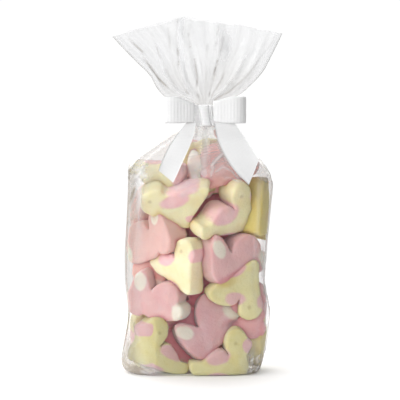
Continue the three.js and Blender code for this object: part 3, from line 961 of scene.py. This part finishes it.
def film_ring(z):
    """One level ring of the body, spaced by its length; starts at +x."""
    middle, width, depth, power = (float(v) for v in section(np.array(z)))
    u = np.arange(2400) / 2400 * 2 * math.pi
    c, s = np.cos(u), np.sin(u)
    x = middle + (width - 0.25) * np.sign(c) * np.abs(c) ** (2 / power)
    y = (depth - 0.25) * np.sign(s) * np.abs(s) ** (2 / power)
    x -= (
        np.sign(c)
        * GUSSET_DEPTH
        * np.exp(-((y / 6) ** 2))
        * float(smooth(4, 26, z) * (1 - smooth(118, 146, z)))
    )
    along = np.concatenate([[0], np.cumsum(np.hypot(np.diff(x), np.diff(y)))])
    total = along[-1] + math.hypot(x[0] - x[-1], y[0] - y[-1])
    want = np.arange(FILM_COLUMNS) / FILM_COLUMNS * total
    at = np.append(along, total)
    ring = np.stack(
        [np.interp(want, at, np.append(x, x[0])), np.interp(want, at, np.append(y, y[0]))], 1
    )
    corner = np.interp(np.array([1, 3, 5, 7]) * math.pi / 4, np.append(u, 2 * math.pi), at)
    return ring, want, corner, total


def gathers(f):
    """Uneven pleats around the neck as a function of the share f around it."""
    a = f * 2 * math.pi
    bend = a + 0.10 * np.sin(3 * a + 0.7) + 0.07 * np.sin(5 * a + 2.1)
    fold = np.arcsin(0.97 * np.sin(17 * bend)) / (math.pi / 2)
    more = np.sin(29 * a + 1.3 * np.sin(4 * a))
    size = 0.65 + 0.35 * np.sin(7 * a + 1.1)
    return 0.85 * fold * size + 0.16 * more


def build_film():
    rows, haze_and_painted_highlight, flow, painted_film_shade = [], [], [], []
    body_z = np.concatenate(
        [
            [0.35, 0.8, 1.5, 2.6, 4.0],
            np.arange(5.3, 134.0, 1.32),
            np.arange(134.4, 176.0, 0.8),
        ]
    )
    share = np.arange(FILM_COLUMNS) / FILM_COLUMNS
    fold = gathers(share)
    for z in body_z:
        ring, along, corner, total = film_ring(z)
        x, y = ring[:, 0], ring[:, 1]
        tangent = np.roll(ring, -1, 0) - np.roll(ring, 1, 0)
        out = np.stack([tangent[:, 1], -tangent[:, 0]], 1)
        out /= np.maximum(np.linalg.norm(out, axis=1), 1e-9)[:, None]
        zz = np.full(FILM_COLUMNS, z)
        place = np.stack([x, y, zz], 1)
        to_corner = np.min(
            np.abs((along[:, None] - corner[None] + total / 2) % total - total / 2), axis=1
        )
        side = smooth(38, 47, np.abs(x - 0.5))
        down = 1 - smooth(134, 160, zz)
        height = 0.28 * noise(place / 24.0, 41) * down
        height += 0.75 * np.exp(-to_corner / 1.1) * down * smooth(0, 6, zz)
        height += 0.30 * side * down * noise(place / (6.5, 6.5, 46.0), 42)
        height += 0.20 * down * noise(place / (10.0, 10.0, 60.0), 43)
        crumple = (
            1.5 * patch_of(x, zz, 40.5, 9.0, 8.0, 12.0) * (y < 8)
            + 0.7 * patch_of(x, zz, -46.0, 10.0, 7.0, 16.0)
            + 0.6 * patch_of(x, zz, -44.0, 72.0, 8.0, 15.0)
            + 1.2 * patch_of(x, zz, -42.0, 141.0, 9.0, 9.0)
            + 0.9 * patch_of(x, zz, 47.0, 139.0, 7.0, 14.0)
            + 0.6 * patch_of(x, zz, 47.0, 60.0, 5.0, 30.0)
            + 0.5 * (y > 10) * (0.4 + 0.6 * noise(place / 30.0, 48))
        )
        height += crumple * (
            0.75 * (ridged(place / (4.6, 4.6, 6.5), 44) - 0.35)
            + 0.35 * (ridged(place / (2.3, 2.3, 3.0), 45) - 0.35)
        )
        veil, painted_crease_grey = 0 * x, 0 * x
        for line, h, g, w, lift in BODY_CREASES:
            dist, where = line_distance(x, zz, line)
            ends = 0.3 + 0.7 * smooth(0, 0.15, where) * (1 - smooth(0.85, 1, where))
            amount = np.exp(-((dist / w) ** 2)) * ends * (y < 0)
            veil = np.maximum(veil, amount * h)
            painted_crease_grey = np.maximum(painted_crease_grey, amount * g)
            height += 0.5 * lift * amount
        # creases running up to the neck
        rise = smooth(139, 166, zz)
        size = mix(2.1, 0.95, smooth(164, 174, zz))
        height += rise * size * fold
        height += rise * 0.35 * noise(np.stack([share * 90, 0 * share, zz / 40], 1), 46) * (1 - smooth(166, 174, zz))
        keep = 0.62 + 0 * height
        height = np.where(height < -keep * down, -keep * down + 0.3 * (height + keep * down), height)
        rows.append(np.stack([x + out[:, 0] * height, y + out[:, 1] * height, zz + 0 * x], 1))
        # how milky the film is: partly its own haze in creases and crumples, partly painted highlights as whiter
        # patches and crease strips
        h = 0.008 + 0.09 * side * down + 0.10 * np.exp(-to_corner / 1.6) * down
        h += 0.36 * patch_of(x, zz, -47.0, 119.0, 6.5, 22.0) + 0.24 * patch_of(x, zz, -51.0, 30.0, 5.0, 28.0)
        h += 0.10 * patch_of(x, zz, 50.5, 100.0, 2.6, 60.0)
        h += veil + 0.6 * patch_of(x, zz, -42.0, 3.0, 12.0, 5.5) * (y < 0)
        h += 0.10 * patch_of(x, zz, 14.0, 153.0, 12.0, 10.0) * (y < 0)
        # the fold lines that run up both sides to the neck, painted only: milky and grey
        # lines in place of their reflections
        to_side = np.minimum(np.abs(x - x.min()), np.abs(x - x.max()))
        fold_line = np.exp(-((to_side / mix(0.45, 0.85, smooth(138, 144, z))) ** 2))
        fold_line = fold_line * (0.35 + 0.9 * smooth(128, 142, zz))
        h += 0.5 * fold_line
        h += 0.22 * smooth(136, 152, zz) + 0.16 * np.clip(crumple, 0, 1.4)
        h += 0.05 * np.clip(noise(place / (5.0, 5.0, 26.0), 47), 0, 1)
        haze_and_painted_highlight.append(h)
        lines = ridged(place / (3.4, 3.4, 5.0), 44)
        # painted shade and reflection: the film's colour is drawn darker in the crumpled corners, along the fold
        # lines and creases, along the floor, at the sides and on the shoulders, in place of the dark surroundings it
        # reflects and the shade seen through it
        painted_film_shade.append(
            np.clip(1.2 * patch_of(x, zz, 42.0, 7.0, 8.0, 11.0) * (y < 6), 0, 1) * (0.25 + 0.75 * lines)
            + 0.35 * patch_of(x, zz, -48.0, 6.0, 6.0, 12.0) * lines
            + 0.6 * patch_of(x, zz, -42.0, 3.0, 12.0, 5.5)
            + painted_crease_grey
            + 0.9 * fold_line
            + 0.30 * patch_of(x, zz, 48.0, 143.0, 5.0, 10.0) * lines
            + 0.5 * np.exp(-((zz / 1.6) ** 2))
            + np.maximum(side * np.where(x < 0, 0.8, 0.42), 0.42 * smooth(138, 150, zz))
        )
        flow.append(np.stack([along, 0 * along, zz], 1))

    angle = share * 2 * math.pi
    c, s = np.cos(angle), np.sin(angle)
    for z in np.linspace(NECK_BOTTOM_Z, NECK_TOP_Z, 9):
        radius = NECK_RADIUS - 0.25 + 0.45 * fold
        rows.append(np.stack([NECK_X + radius * c, radius * s, np.full(FILM_COLUMNS, z)], 1))
        haze_and_painted_highlight.append(np.full(FILM_COLUMNS, 0.3))
        painted_film_shade.append(np.zeros(FILM_COLUMNS))
        flow.append(np.stack([share * 300, 0 * share, np.full(FILM_COLUMNS, z)], 1))

    count = 76
    left = smooth_rows([[i / 6, *row] for i, row in enumerate(FLARE_LEFT)], np.linspace(0, 1, count))
    right = smooth_rows([[i / 6, *row] for i, row in enumerate(FLARE_RIGHT)], np.linspace(0, 1, count))
    for i in range(1, count):
        t = i / (count - 1)
        (xl, zl), (xr, zr) = left[i], right[i]
        middle = mix(NECK_X, -4.64, t * t)
        rise = mix(NECK_TOP_Z, 248.6, t)
        depth = mix(NECK_RADIUS, FLARE_DEPTH, t)
        x = np.where(c < 0, middle + (middle - xl) * c, middle + (xr - middle) * c)
        edge = np.where(c < 0, zl, zr)
        z = mix(rise, edge, np.abs(c) ** 1.7)
        z = z + 3.2 * t * t * np.exp(-(((x - FLARE_PEAK_X) / 9) ** 2))
        # the free edge isn't cut straight
        z = z + smooth(0.7, 1, t) * 0.9 * noise(np.stack([x / 9, 2.0 * (s > 0), 0 * x], 1), 51)
        y = depth * s * (1 - 0.45 * t * c * c)
        place = np.stack([x, 3.0 * np.sign(s), z], 1)
        rays = np.stack([share * 40 + 20 * (s > 0), 0 * share, t * 1.6 + 0 * share], 1)
        pleat = 1.5 * float(smooth(0.02, 0.45, t)) * fold + (1 - float(smooth(0, 0.3, t))) * 0.45 * fold
        height = pleat * (1 - 0.3 * np.abs(c))
        front = s < 0
        for line, h, w in FLARE_CREASES:
            dist, where = line_distance(x, z, line)
            ends = smooth(0, 0.12, where) * (1 - smooth(0.88, 1, where))
            amount = h * np.exp(-np.abs(dist) / w) * (0.25 + 0.75 * ends)
            height += np.where(front, amount, 0.5 * amount)
        rough = 1.0 * patch_of(x, z, 25.0, 205.0, 17.0, 11.0) + 0.3 * patch_of(x, z, -22.0, 208.0, 10.0, 10.0)
        height += smooth(0.05, 0.3, t) * (
            0.9 * noise(rays, 52) + 0.45 * (ridged(rays * (1.9, 1.0, 1.2), 53) - 0.3)
        )
        height += rough * 0.5 * (ridged(place / (4.2, 4.2, 5.6), 56) - 0.35)
        height += smooth(0.1, 0.6, t) * 2.2 * noise(place / (19.0, 19.0, 36.0), 54)
        room = smooth(0.02, 0.5, np.abs(s))
        y = y + height * s / np.maximum(np.abs(s), 0.3) * room
        x = x - 0.35 * fold * c * np.abs(s) * smooth(0.02, 0.5, t)
        rows.append(np.stack([x, y, z], 1))
        # how milky the flare is: its own haze, with painted highlights as a bright patch and bright strips along the
        # raised creases, and milky sunken creases and crinkles
        h = 0.20 + 0.07 * np.clip(noise(rays * (0.8, 1.0, 1.3), 55), -1, 1) + 0.10 * np.exp(-t * 4)
        h += 0.30 * patch_of(x, z, 20.0, 232.0, 3.6, 8.0) * front
        lines = 0 * x
        for k, (line, h2, w2) in enumerate(FLARE_CREASES):
            if h2 < 0:
                dist, where = line_distance(x, z, line)
                broken = noise(np.stack([where * 3.5, 0 * x + 2.3 * k, 0 * x], 1), 58)
                broken = 0.3 + 0.7 * smooth(-0.15, 0.25, broken)
                lines = np.maximum(lines, np.exp(-((dist / 0.8) ** 2)) * broken * min(1.0, -h2 / 1.6))
        crinkle = 0.5 * rough * ridged(place / (3.2, 3.2, 4.4), 57)
        # painted outline: where the flare is seen edge on at its sides it is drawn milkier and darker, in place of
        # what it reflects there
        rim = np.exp(-((s / 0.13) ** 2)) * float(smooth(0.02, 0.2, t))
        h += 0.5 * rim
        painted_highlight_strip = np.zeros(FILM_COLUMNS)
        for line, h2, w2 in FLARE_CREASES:
            if h2 > 1.1:
                dist, where = line_distance(x, z, line)
                painted_highlight_strip = np.maximum(painted_highlight_strip, np.exp(-((dist / w2) ** 2)) * (h2 - 0.9))
        h += front * (0.32 * lines + 0.28 * np.clip(painted_highlight_strip, 0, 1) + 0.18 * crinkle)
        haze_and_painted_highlight.append(np.clip(h, 0.05, 1))
        # painted shade and reflection: the flare's colour is drawn darker near the neck, along the sunken creases, in
        # crinkles, at its edge-on sides and in two patches, and lighter along the bright strips
        painted_film_shade.append(
            np.clip(0.18 + 0.5 * np.exp(-t * 2.8) + front * (0.7 * (lines + crinkle) - 0.25 * painted_highlight_strip) + 0.45 * rim
                + 0.22 * patch_of(x, z, -18.0, 205.0, 8.0, 9.0) + 0.2 * patch_of(x, z, 27.0, 210.0, 15.0, 12.0), 0, 1)
        )
        flow.append(np.stack([share * 300, 0 * share, 189 + 62 * t + 0 * share], 1))

    # the block bottom, folded in under the bag
    foot = rows[0]
    centre = foot.mean(0)
    under = []
    for k in (0.93, 0.8, 0.62, 0.42, 0.2, 0.05):
        ring = centre + (foot - centre) * (k, k, 1)
        ring[:, 2] = 0.35 + 0.25 * smooth(0.0, 8.0, np.abs(ring[:, 1]) - 4 + 0.18 * np.abs(ring[:, 0]))
        under.append(ring)
    rows = under[::-1] + rows
    haze_and_painted_highlight = [np.full(FILM_COLUMNS, 0.12)] * len(under) + haze_and_painted_highlight
    painted_film_shade = [np.zeros(FILM_COLUMNS)] * len(under) + painted_film_shade
    flow = [np.stack([r[:, 0], 0 * r[:, 0], r[:, 1]], 1) for r in under[::-1]] + flow
    faces = grid_faces(len(rows), FILM_COLUMNS)
    faces.append(tuple(range(FILM_COLUMNS))[::-1])
    return make_object(
        "film_bag",
        np.vstack(rows),
        faces,
        (
            ("haze_and_painted_highlight", np.concatenate(haze_and_painted_highlight)),
            ("painted_film_shade", np.concatenate(painted_film_shade)),
            ("flow", np.vstack(flow)),
        ),
    )


def film_material():
    m = Nodes("clear_film")
    flow = m.attribute("flow")
    s, _, z = m.split(flow)
    haze_and_painted_highlight = m.attribute("haze_and_painted_highlight", "Fac")
    stretched = m.join(s, 0.0, m.math("MULTIPLY", z, 0.12))
    streaks = m.noise(stretched, 0.16, 2.0, 0.5)
    weight = m.add("LayerWeight")
    weight.inputs["Blend"].default_value = 0.32
    facing = m.math("POWER", weight.outputs["Facing"], 2.2)
    veil = m.math("MULTIPLY", haze_and_painted_highlight, m.step(streaks, 0.25, 0.75, 0.7, 1.3))
    see = m.math("ADD", m.math("MULTIPLY_ADD", facing, 0.55, 0.012), veil, clamp=True)
    shader = m.add("BsdfPrincipled")
    # painted reflection and shade: the film's colour darkens where it is seen edge on and where the painted shade
    # attribute is high, in place of the darker things it reflects
    edge = m.math(
        "MULTIPLY_ADD",
        m.math("POWER", weight.outputs["Facing"], 5.0),
        0.55,
        m.attribute("painted_film_shade", "Fac"),
        clamp=True,
    )
    m.link(
        m.blend(edge, colour(240, 242, 246), colour(150, 141, 128)),
        shader.inputs["Base Color"],
    )
    shader.inputs["Roughness"].default_value = 0.16
    shader.inputs["Specular IOR Level"].default_value = 0.6
    clear = m.add("BsdfTransparent")
    both = m.add("MixShader")
    m.link(see, both.inputs[0])
    m.link(clear.outputs[0], both.inputs[1])
    m.link(shader.outputs[0], both.inputs[2])
    m.link(m.bump(streaks, 0.12, 0.0006), shader.inputs["Normal"])
    m.link(both.outputs[0], m.output.inputs["Surface"])
    return m.material


film = build_film()
film.data.materials.append(film_material())
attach(film, "root")
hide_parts("bag")
print("film triangles", sum(len(p.vertices) - 2 for p in film.data.polygons))


# -------------------------------------------------------------------- ribbon
BOW_Y = -(5 + 0.75 + 0.9 + 0.7 + 2.7)
RIB_PITCH = 2.3
RIB_HEIGHT = 0.09


def strap(line, across, widths, thickness=0.55, cells=14, ribs=True, cup=0.0):
    """A ribbon from its middle line, its crosswise directions and its widths.

    The ribs run across it. Gives points, faces and where each point is along
    and across the ribbon.
    """
    line = np.asarray(line, float)
    across = np.asarray(across, float)
    across = across / np.linalg.norm(across, axis=1)[:, None]
    n = len(line)
    ahead = np.gradient(line, axis=0)
    ahead /= np.maximum(np.linalg.norm(ahead, axis=1), 1e-9)[:, None]
    out = np.cross(ahead, across)
    out /= np.maximum(np.linalg.norm(out, axis=1), 1e-9)[:, None]
    run = np.concatenate([[0], np.cumsum(np.linalg.norm(np.diff(line, axis=0), axis=1))])
    wave = RIB_HEIGHT * np.abs(np.sin(run / RIB_PITCH * math.pi)) if ribs else 0 * run
    k = np.linspace(-1, 1, cells + 1)
    edge = 1 - 0.55 * np.abs(k) ** 12
    upper = [(a, e) for a, e in zip(k, edge)]
    lower = [(a, -e) for a, e in zip(k[::-1], edge[::-1])]
    pts, where = [], []
    widths = np.broadcast_to(widths, (n,))
    for a, e in upper + lower:
        flat = abs(a) < 0.97
        thick = thickness / 2 * abs(e) + (wave if flat else 0 * wave)
        lift = cup * (1 - a * a)
        pts.append(
            line
            + across * (a * widths / 2)[:, None]
            + out * (np.sign(e) * thick + lift)[:, None]
        )
        where.append(np.stack([run, np.full(n, a * 9.3), 0 * run], 1))
    ring = len(pts)
    points = np.stack(pts, 1).reshape(-1, 3)
    where = np.stack(where, 1).reshape(-1, 3)
    faces = grid_faces(n, ring)
    faces.append(tuple(range(ring))[::-1])
    faces.append(tuple(range((n - 1) * ring, n * ring)))
    return points, faces, where


def ribbon_object(name, node, parts):
    points, faces, where, count = [], [], [], 0
    for p, f, w in parts:
        points.append(p)
        faces += [tuple(i + count for i in face) for face in f]
        where.append(w)
        count += len(p)
    obj = make_object(name, np.vstack(points), faces, (("weave", np.vstack(where)),))
    fix_facing(obj)
    obj.data.materials.append(ribbon_look)
    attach(obj, "root")
    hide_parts(node)
    return obj


def fix_facing(obj):
    """Turns all faces outward where a part came out inside out."""
    mesh = obj.data
    volume = 0.0
    for p in mesh.polygons:
        v = [mesh.vertices[i].co for i in p.vertices]
        for k in range(1, len(v) - 1):
            volume += v[0].dot(v[k].cross(v[k + 1]))
    if volume < 0:
        mesh.flip_normals()


def ribbon_material():
    m = Nodes("grosgrain_ribbon")
    weave = m.attribute("weave")
    run, wide, drawn = m.split(weave)
    # the ribs are pulled flatter along the tails
    thread = m.math("SINE", m.math("MULTIPLY", run, 2 * math.pi / RIB_PITCH))
    thread = m.math("MULTIPLY", thread, m.math("MULTIPLY_ADD", drawn, -0.65, 1.0))
    warp = m.math("SINE", m.math("MULTIPLY", wide, 2 * math.pi / 0.42))
    soft = m.noise(m.join(m.math("MULTIPLY", run, 0.4), m.math("MULTIPLY", wide, 2.5), 0.0), 0.5, 3.0, 0.6)
    shader = m.add("BsdfPrincipled")
    base = m.blend(m.step(soft, 0.3, 0.7), colour(242, 242, 242), colour(239, 239, 239))
    # painted shade: faint darker lines along the ribs
    base = m.blend(m.math("MULTIPLY_ADD", thread, 0.05, 0.05), base, colour(200, 201, 203))
    m.link(base, shader.inputs["Base Color"])
    shader.inputs["Roughness"].default_value = 0.62
    shader.inputs["Specular IOR Level"].default_value = 0.3
    shader.inputs["Sheen Weight"].default_value = 0.2
    shader.inputs["Sheen Roughness"].default_value = 0.4
    normal = m.bump(thread, 0.12, 0.00010)
    normal = m.bump(warp, 0.08, 0.00004, normal)
    m.link(normal, shader.inputs["Normal"])
    m.link(shader.outputs[0], m.output.inputs["Surface"])
    return m.material


ribbon_look = ribbon_material()


def resample(rows, step):
    """Evenly spaced points on a polyline (n, k)."""
    rows = np.asarray(rows, float)
    along = np.concatenate([[0], np.cumsum(np.linalg.norm(np.diff(rows[:, :3], axis=0), axis=1))])
    count = max(2, int(along[-1] / step))
    want = np.linspace(0, along[-1], count)
    return np.stack([np.interp(want, along, rows[:, k]) for k in range(rows.shape[1])], 1)


def bow_loop(side, reach, sag):
    """One loop of the bow: out from the knot, round and back."""
    u = np.linspace(0.02, 2 * math.pi - 0.02, 500)
    out = reach * (0.5 - 0.5 * np.cos(u))
    thick = (3.7 if side > 0 else 2.5) * np.sin(u) * (0.5 + 0.75 * np.abs(np.sin(u / 2)) ** 1.2)
    x = NECK_X + side * ((6.0 if side > 0 else 7.8) + out)
    y = BOW_Y - 1.2 + side * thick * (1 if side > 0 else 1)
    near = 1 - smooth(0, 0.62, out / reach)
    width = 18.6 - sag * near
    foot = 177.2 + 0.35 * near
    # a soft dent in the front strand
    front = smooth(-1, -4, side * 0 + y - BOW_Y + 1.2)
    y = y + 0.5 * front * np.sin(np.clip(out / reach, 0, 1) * math.pi * 1.7)
    z = foot + width / 2
    rows = resample(np.stack([x, y, z, width], 1), 0.2)
    up = np.tile((0.0, 0.0, 1.0), (len(rows), 1))
    return strap(rows[:, :3], up, rows[:, 3], 0.5, 14)


ribbon_object("ribbon_loop_left", "bow_loop_left", [bow_loop(-1, 20.2, 4.6)])
ribbon_object("ribbon_loop_right", "bow_loop_right", [bow_loop(1, 22.6, 3.2)])

TAILS = {
    "left": (
        [(-8.2, 177.4), (-18.6, 164.2), (-23.6, 155.6), (-27.7, 145.6)],
        [(-1.4, 177.4), (-4.4, 165.3), (-10.6, 151.7), (-17.4, 137.2)],
    ),
    "right": (
        [(11.0, 177.4), (14.6, 163.4), (24.0, 147.2), (35.3, 135.8)],
        [(25.6, 177.4), (32.0, 168.4), (37.4, 161.0), (42.8, 153.6)],
    ),
}


def bow_tail(side):
    edges = TAILS[side]
    v = np.linspace(0, 1, 150)
    a = smooth_rows([[i / 3, *row] for i, row in enumerate(edges[0])], v)
    b = smooth_rows([[i / 3, *row] for i, row in enumerate(edges[1])], v)
    u = np.linspace(0, 1, 17)
    grid = a[:, None, :] * (1 - u)[None, :, None] + b[:, None, :] * u[None, :, None]
    levels = np.linspace(grid[..., 1].min(), grid[..., 1].max(), 90)
    over = np.linspace(grid[..., 0].min(), grid[..., 0].max(), 40)
    xx, zz = np.meshgrid(over, levels)
    lie = front_of(xx, zz).min(1) - 1.5
    lie = np.minimum(lie, BOW_Y - 1.0 - 0.25 * (177.2 - levels))
    padded = np.pad(lie, 4, mode="edge")
    lie = np.minimum(lie, np.convolve(padded, np.ones(9) / 9, mode="valid"))
    level_y = np.interp(grid[..., 1], levels, lie)
    level_y -= (0.10 if side == "right" else 0.0) * (TAILS[side][1][3][0] - grid[..., 0])
    curl = 0.7 * smooth(0.35, 1, v)[:, None] * (2 * u[None] - 1) ** 2
    bow = 0.3 * np.sin(v * math.pi)[:, None] * (1 - (2 * u[None] - 1) ** 2)
    y = level_y - curl - bow
    mid_run = np.concatenate([[0], np.cumsum(np.linalg.norm(np.diff((a + b) / 2, axis=0), axis=1))])
    wave = 0.02 * np.abs(np.sin(mid_run / RIB_PITCH * math.pi))[:, None]
    pts, where = [], []
    for sign in (-1, 1):
        block = np.stack([grid[..., 0], y + sign * 0.25 + sign * wave, grid[..., 1]], -1)
        pts.append(block.reshape(-1, 3))
        where.append(
            np.stack(
                [
                    np.repeat(mid_run[:, None], 17, 1),
                    np.repeat(((2 * u - 1) * 9.3)[None], 150, 0),
                    np.ones((150, 17)),
                ],
                -1,
            ).reshape(-1, 3)
        )
    faces = grid_faces(150, 17, closed=False)
    back = [tuple(i + 150 * 17 for i in f[::-1]) for f in faces]
    rim = [r * 17 for r in range(150)] + [149 * 17 + k for k in range(1, 17)]
    rim += [r * 17 + 16 for r in range(148, -1, -1)] + list(range(15, 0, -1))
    side_faces = []
    for i, p in enumerate(rim):
        q = rim[(i + 1) % len(rim)]
        side_faces.append((q, p, p + 150 * 17, q + 150 * 17))
    return np.vstack(pts), faces + back + side_faces, np.vstack(where)


ribbon_object("ribbon_tail_left", "bow_tail_left", [bow_tail("left")])
ribbon_object("ribbon_tail_right", "bow_tail_right", [bow_tail("right")])


def bow_knot():
    """The knot: a band laid over the middle of the bow, pinched on its left."""
    front = BOW_Y - 2.7
    rows = [
        (-3.0, front + 4.9), (-3.6, front + 2.6), (-3.2, front + 1.3), (-2.3, front + 1.9),
        (-0.6, front + 3.7), (0.9, front + 4.7), (1.5, front + 2.8), (1.9, front + 0.6),
        (2.6, front - 0.2), (3.8, front - 0.6),
        (5.2, front - 0.75), (7.2, front - 0.5), (8.0, front + 0.2), (8.4, front + 1.5),
        (8.9, front + 1.5), (9.5, front + 0.5), (10.4, front + 0.9), (10.9, front + 2.4),
        (10.5, front + 4.9), (8.5, front + 5.5), (5.0, front + 5.6), (1.0, front + 5.5),
    ]
    ring = closed_curve(rows, 128)
    levels = np.linspace(0, 1, 44)
    pts, where = [], []
    for k in levels:
        z = 174.7 + 15.0 * k
        grow = 1 - 0.06 * math.sin(math.pi * k) + 0.03 * k
        tuck = 1 - 0.42 * (1 - min(1, min(k, 1 - k) / 0.07)) ** 2
        lean = 2.2 * (0.5 - k)
        x = NECK_X + (ring[:, 0] - NECK_X) * grow * (0.9 + 0.1 * tuck) + lean
        y = front + 2.6 + (ring[:, 1] - front - 2.6) * tuck
        wave = RIB_HEIGHT * abs(math.sin(z / RIB_PITCH * math.pi))
        y = y - wave * (ring[:, 1] < front + 1)
        pts.append(np.stack([x, y, np.full(len(x), z)], 1))
        where.append(np.stack([np.full(len(x), z), ring[:, 0], 0 * x], 1))
    n = len(ring)
    faces = grid_faces(len(levels), n)
    faces.append(tuple(range(n))[::-1])
    faces.append(tuple(range((len(levels) - 1) * n, len(levels) * n)))
    return np.vstack(pts), faces, np.vstack(where)


ribbon_object("ribbon_knot", "bow_knot", [bow_knot()])


def neck_band():
    """The ribbon drawn round the gathered neck."""
    u = np.linspace(0, 2 * math.pi, 220)
    r = 6.35 + 0.12 * np.sin(9 * u) + 0.08 * np.sin(17 * u + 1)
    line = np.stack([NECK_X + r * np.cos(u), r * np.sin(u), 182.75 + 0 * u], 1)
    up = np.tile((0.0, 0.0, 1.0), (len(u), 1))
    return strap(line, up, 11.4 + 0.4 * np.sin(2 * u), 0.8, 12)


ribbon_object("ribbon_neck", "neck_tie", [neck_band()])


# --------------------------------------------------------------------- stage
# The studio's light as broad soft boxes: strength, where it is, narrowness.
SOFT_BOXES = [
    (1.05, (0.0, 1.0, 0.15), 2.0),
    (1.90, (0.0, 1.0, 0.70), 3.0),
    (1.42, (0.0, -1.0, 0.0), 2.0),
    (2.15, (-1.0, -0.8, 0.1), 3.0),
    (1.14, (-1.0, 0.0, 0.0), 1.5),
    (0.90, (-0.9, 0.7, 0.6), 3.0),
]


def stage():
    mesh = bpy.data.meshes.new("floor")
    s = 14.0
    mesh.from_pydata([(-s, -s, 0), (s, -s, 0), (s, s, 0), (-s, s, 0)], [], [(0, 1, 2, 3)])
    floor = bpy.data.objects.new("floor", mesh)
    bpy.context.scene.collection.objects.link(floor)
    m = Nodes("floor_paper")
    # A white sheet: lit paper round the bag, evenly bright behind it. In front
    # of the bag and far to its sides it is seen pale, but sends no light back.
    geometry_node = m.add("NewGeometry")
    x, y, _ = m.split(geometry_node.outputs["Position"])
    away = m.math("SQRT", m.math("MULTIPLY_ADD", x, x, m.math("MULTIPLY", y, y)))
    near = m.math("MULTIPLY", m.step(away, 0.44, 0.22), m.step(y, -0.32, -0.20))
    diffuse = m.add("BsdfDiffuse")
    paper = m.math("MULTIPLY", near, 0.95)
    m.link(m.join(paper, paper, paper), diffuse.inputs["Color"])
    glow = m.add("Emission")
    glow.inputs["Color"].default_value = (1, 1, 1, 1)
    behind = m.step(y, 0.10, 0.35, 0.0, 1.04)
    seen = m.add("LightPath").outputs["Is Camera Ray"]
    pale = m.math("MULTIPLY", seen, m.math("MULTIPLY_ADD", near, -0.9, 0.9))
    bright = m.math("MULTIPLY_ADD", near, 0.035, behind)
    m.link(m.math("MAXIMUM", bright, pale), glow.inputs["Strength"])
    both = m.add("AddShader")
    m.link(diffuse.outputs[0], both.inputs[0])
    m.link(glow.outputs[0], both.inputs[1])
    m.link(both.outputs[0], m.output.inputs["Surface"])
    mesh.materials.append(m.material)

    scene = bpy.context.scene
    world = bpy.data.worlds.new("studio")
    scene.world = world
    world.use_nodes = True
    tree = world.node_tree
    background = tree.nodes["Background"]
    sky = tree.nodes.new("ShaderNodeTexCoord")

    def sky_math(operation, *values):
        node = tree.nodes.new("ShaderNodeMath")
        node.operation = operation
        for socket, value in zip(node.inputs, values):
            if isinstance(value, bpy.types.NodeSocket):
                tree.links.new(value, socket)
            else:
                socket.default_value = value
        return node.outputs[0]

    total = 0.0
    for strength, way, narrow in SOFT_BOXES:
        lobe = tree.nodes.new("ShaderNodeVectorMath")
        lobe.operation = "DOT_PRODUCT"
        tree.links.new(sky.outputs["Generated"], lobe.inputs[0])
        lobe.inputs[1].default_value = Vector(way).normalized()
        lit = sky_math("POWER", sky_math("MAXIMUM", lobe.outputs["Value"], 1e-6), narrow)
        total = sky_math("MULTIPLY_ADD", lit, strength, total)
    height = tree.nodes.new("ShaderNodeSeparateXYZ")
    tree.links.new(sky.outputs["Generated"], height.inputs[0])
    above = sky_math("GREATER_THAN", height.outputs["Z"], 0.0)
    tree.links.new(sky_math("MULTIPLY", total, above), background.inputs["Strength"])
    background.inputs["Color"].default_value = (1, 1, 1, 1)

    camera = bpy.data.cameras.new("camera")
    view = bpy.data.objects.new("camera", camera)
    scene.collection.objects.link(view)
    scene.camera = view
    distance = 2.2
    lift = math.radians(6)
    aim = Vector(((1.26 + SHIFT[0]) * MM, (-31.5 + SHIFT[1]) * MM, 0.1250))
    view.location = aim + Vector((0, -math.cos(lift), math.sin(lift))) * distance
    view.rotation_euler = (math.radians(90) - lift, 0, 0)
    camera.sensor_width = 36
    camera.lens = 36 * distance / 0.279
    camera.clip_end = 100
    scene.view_settings.view_transform = "Standard"
    scene.view_settings.look = "None"


stage()
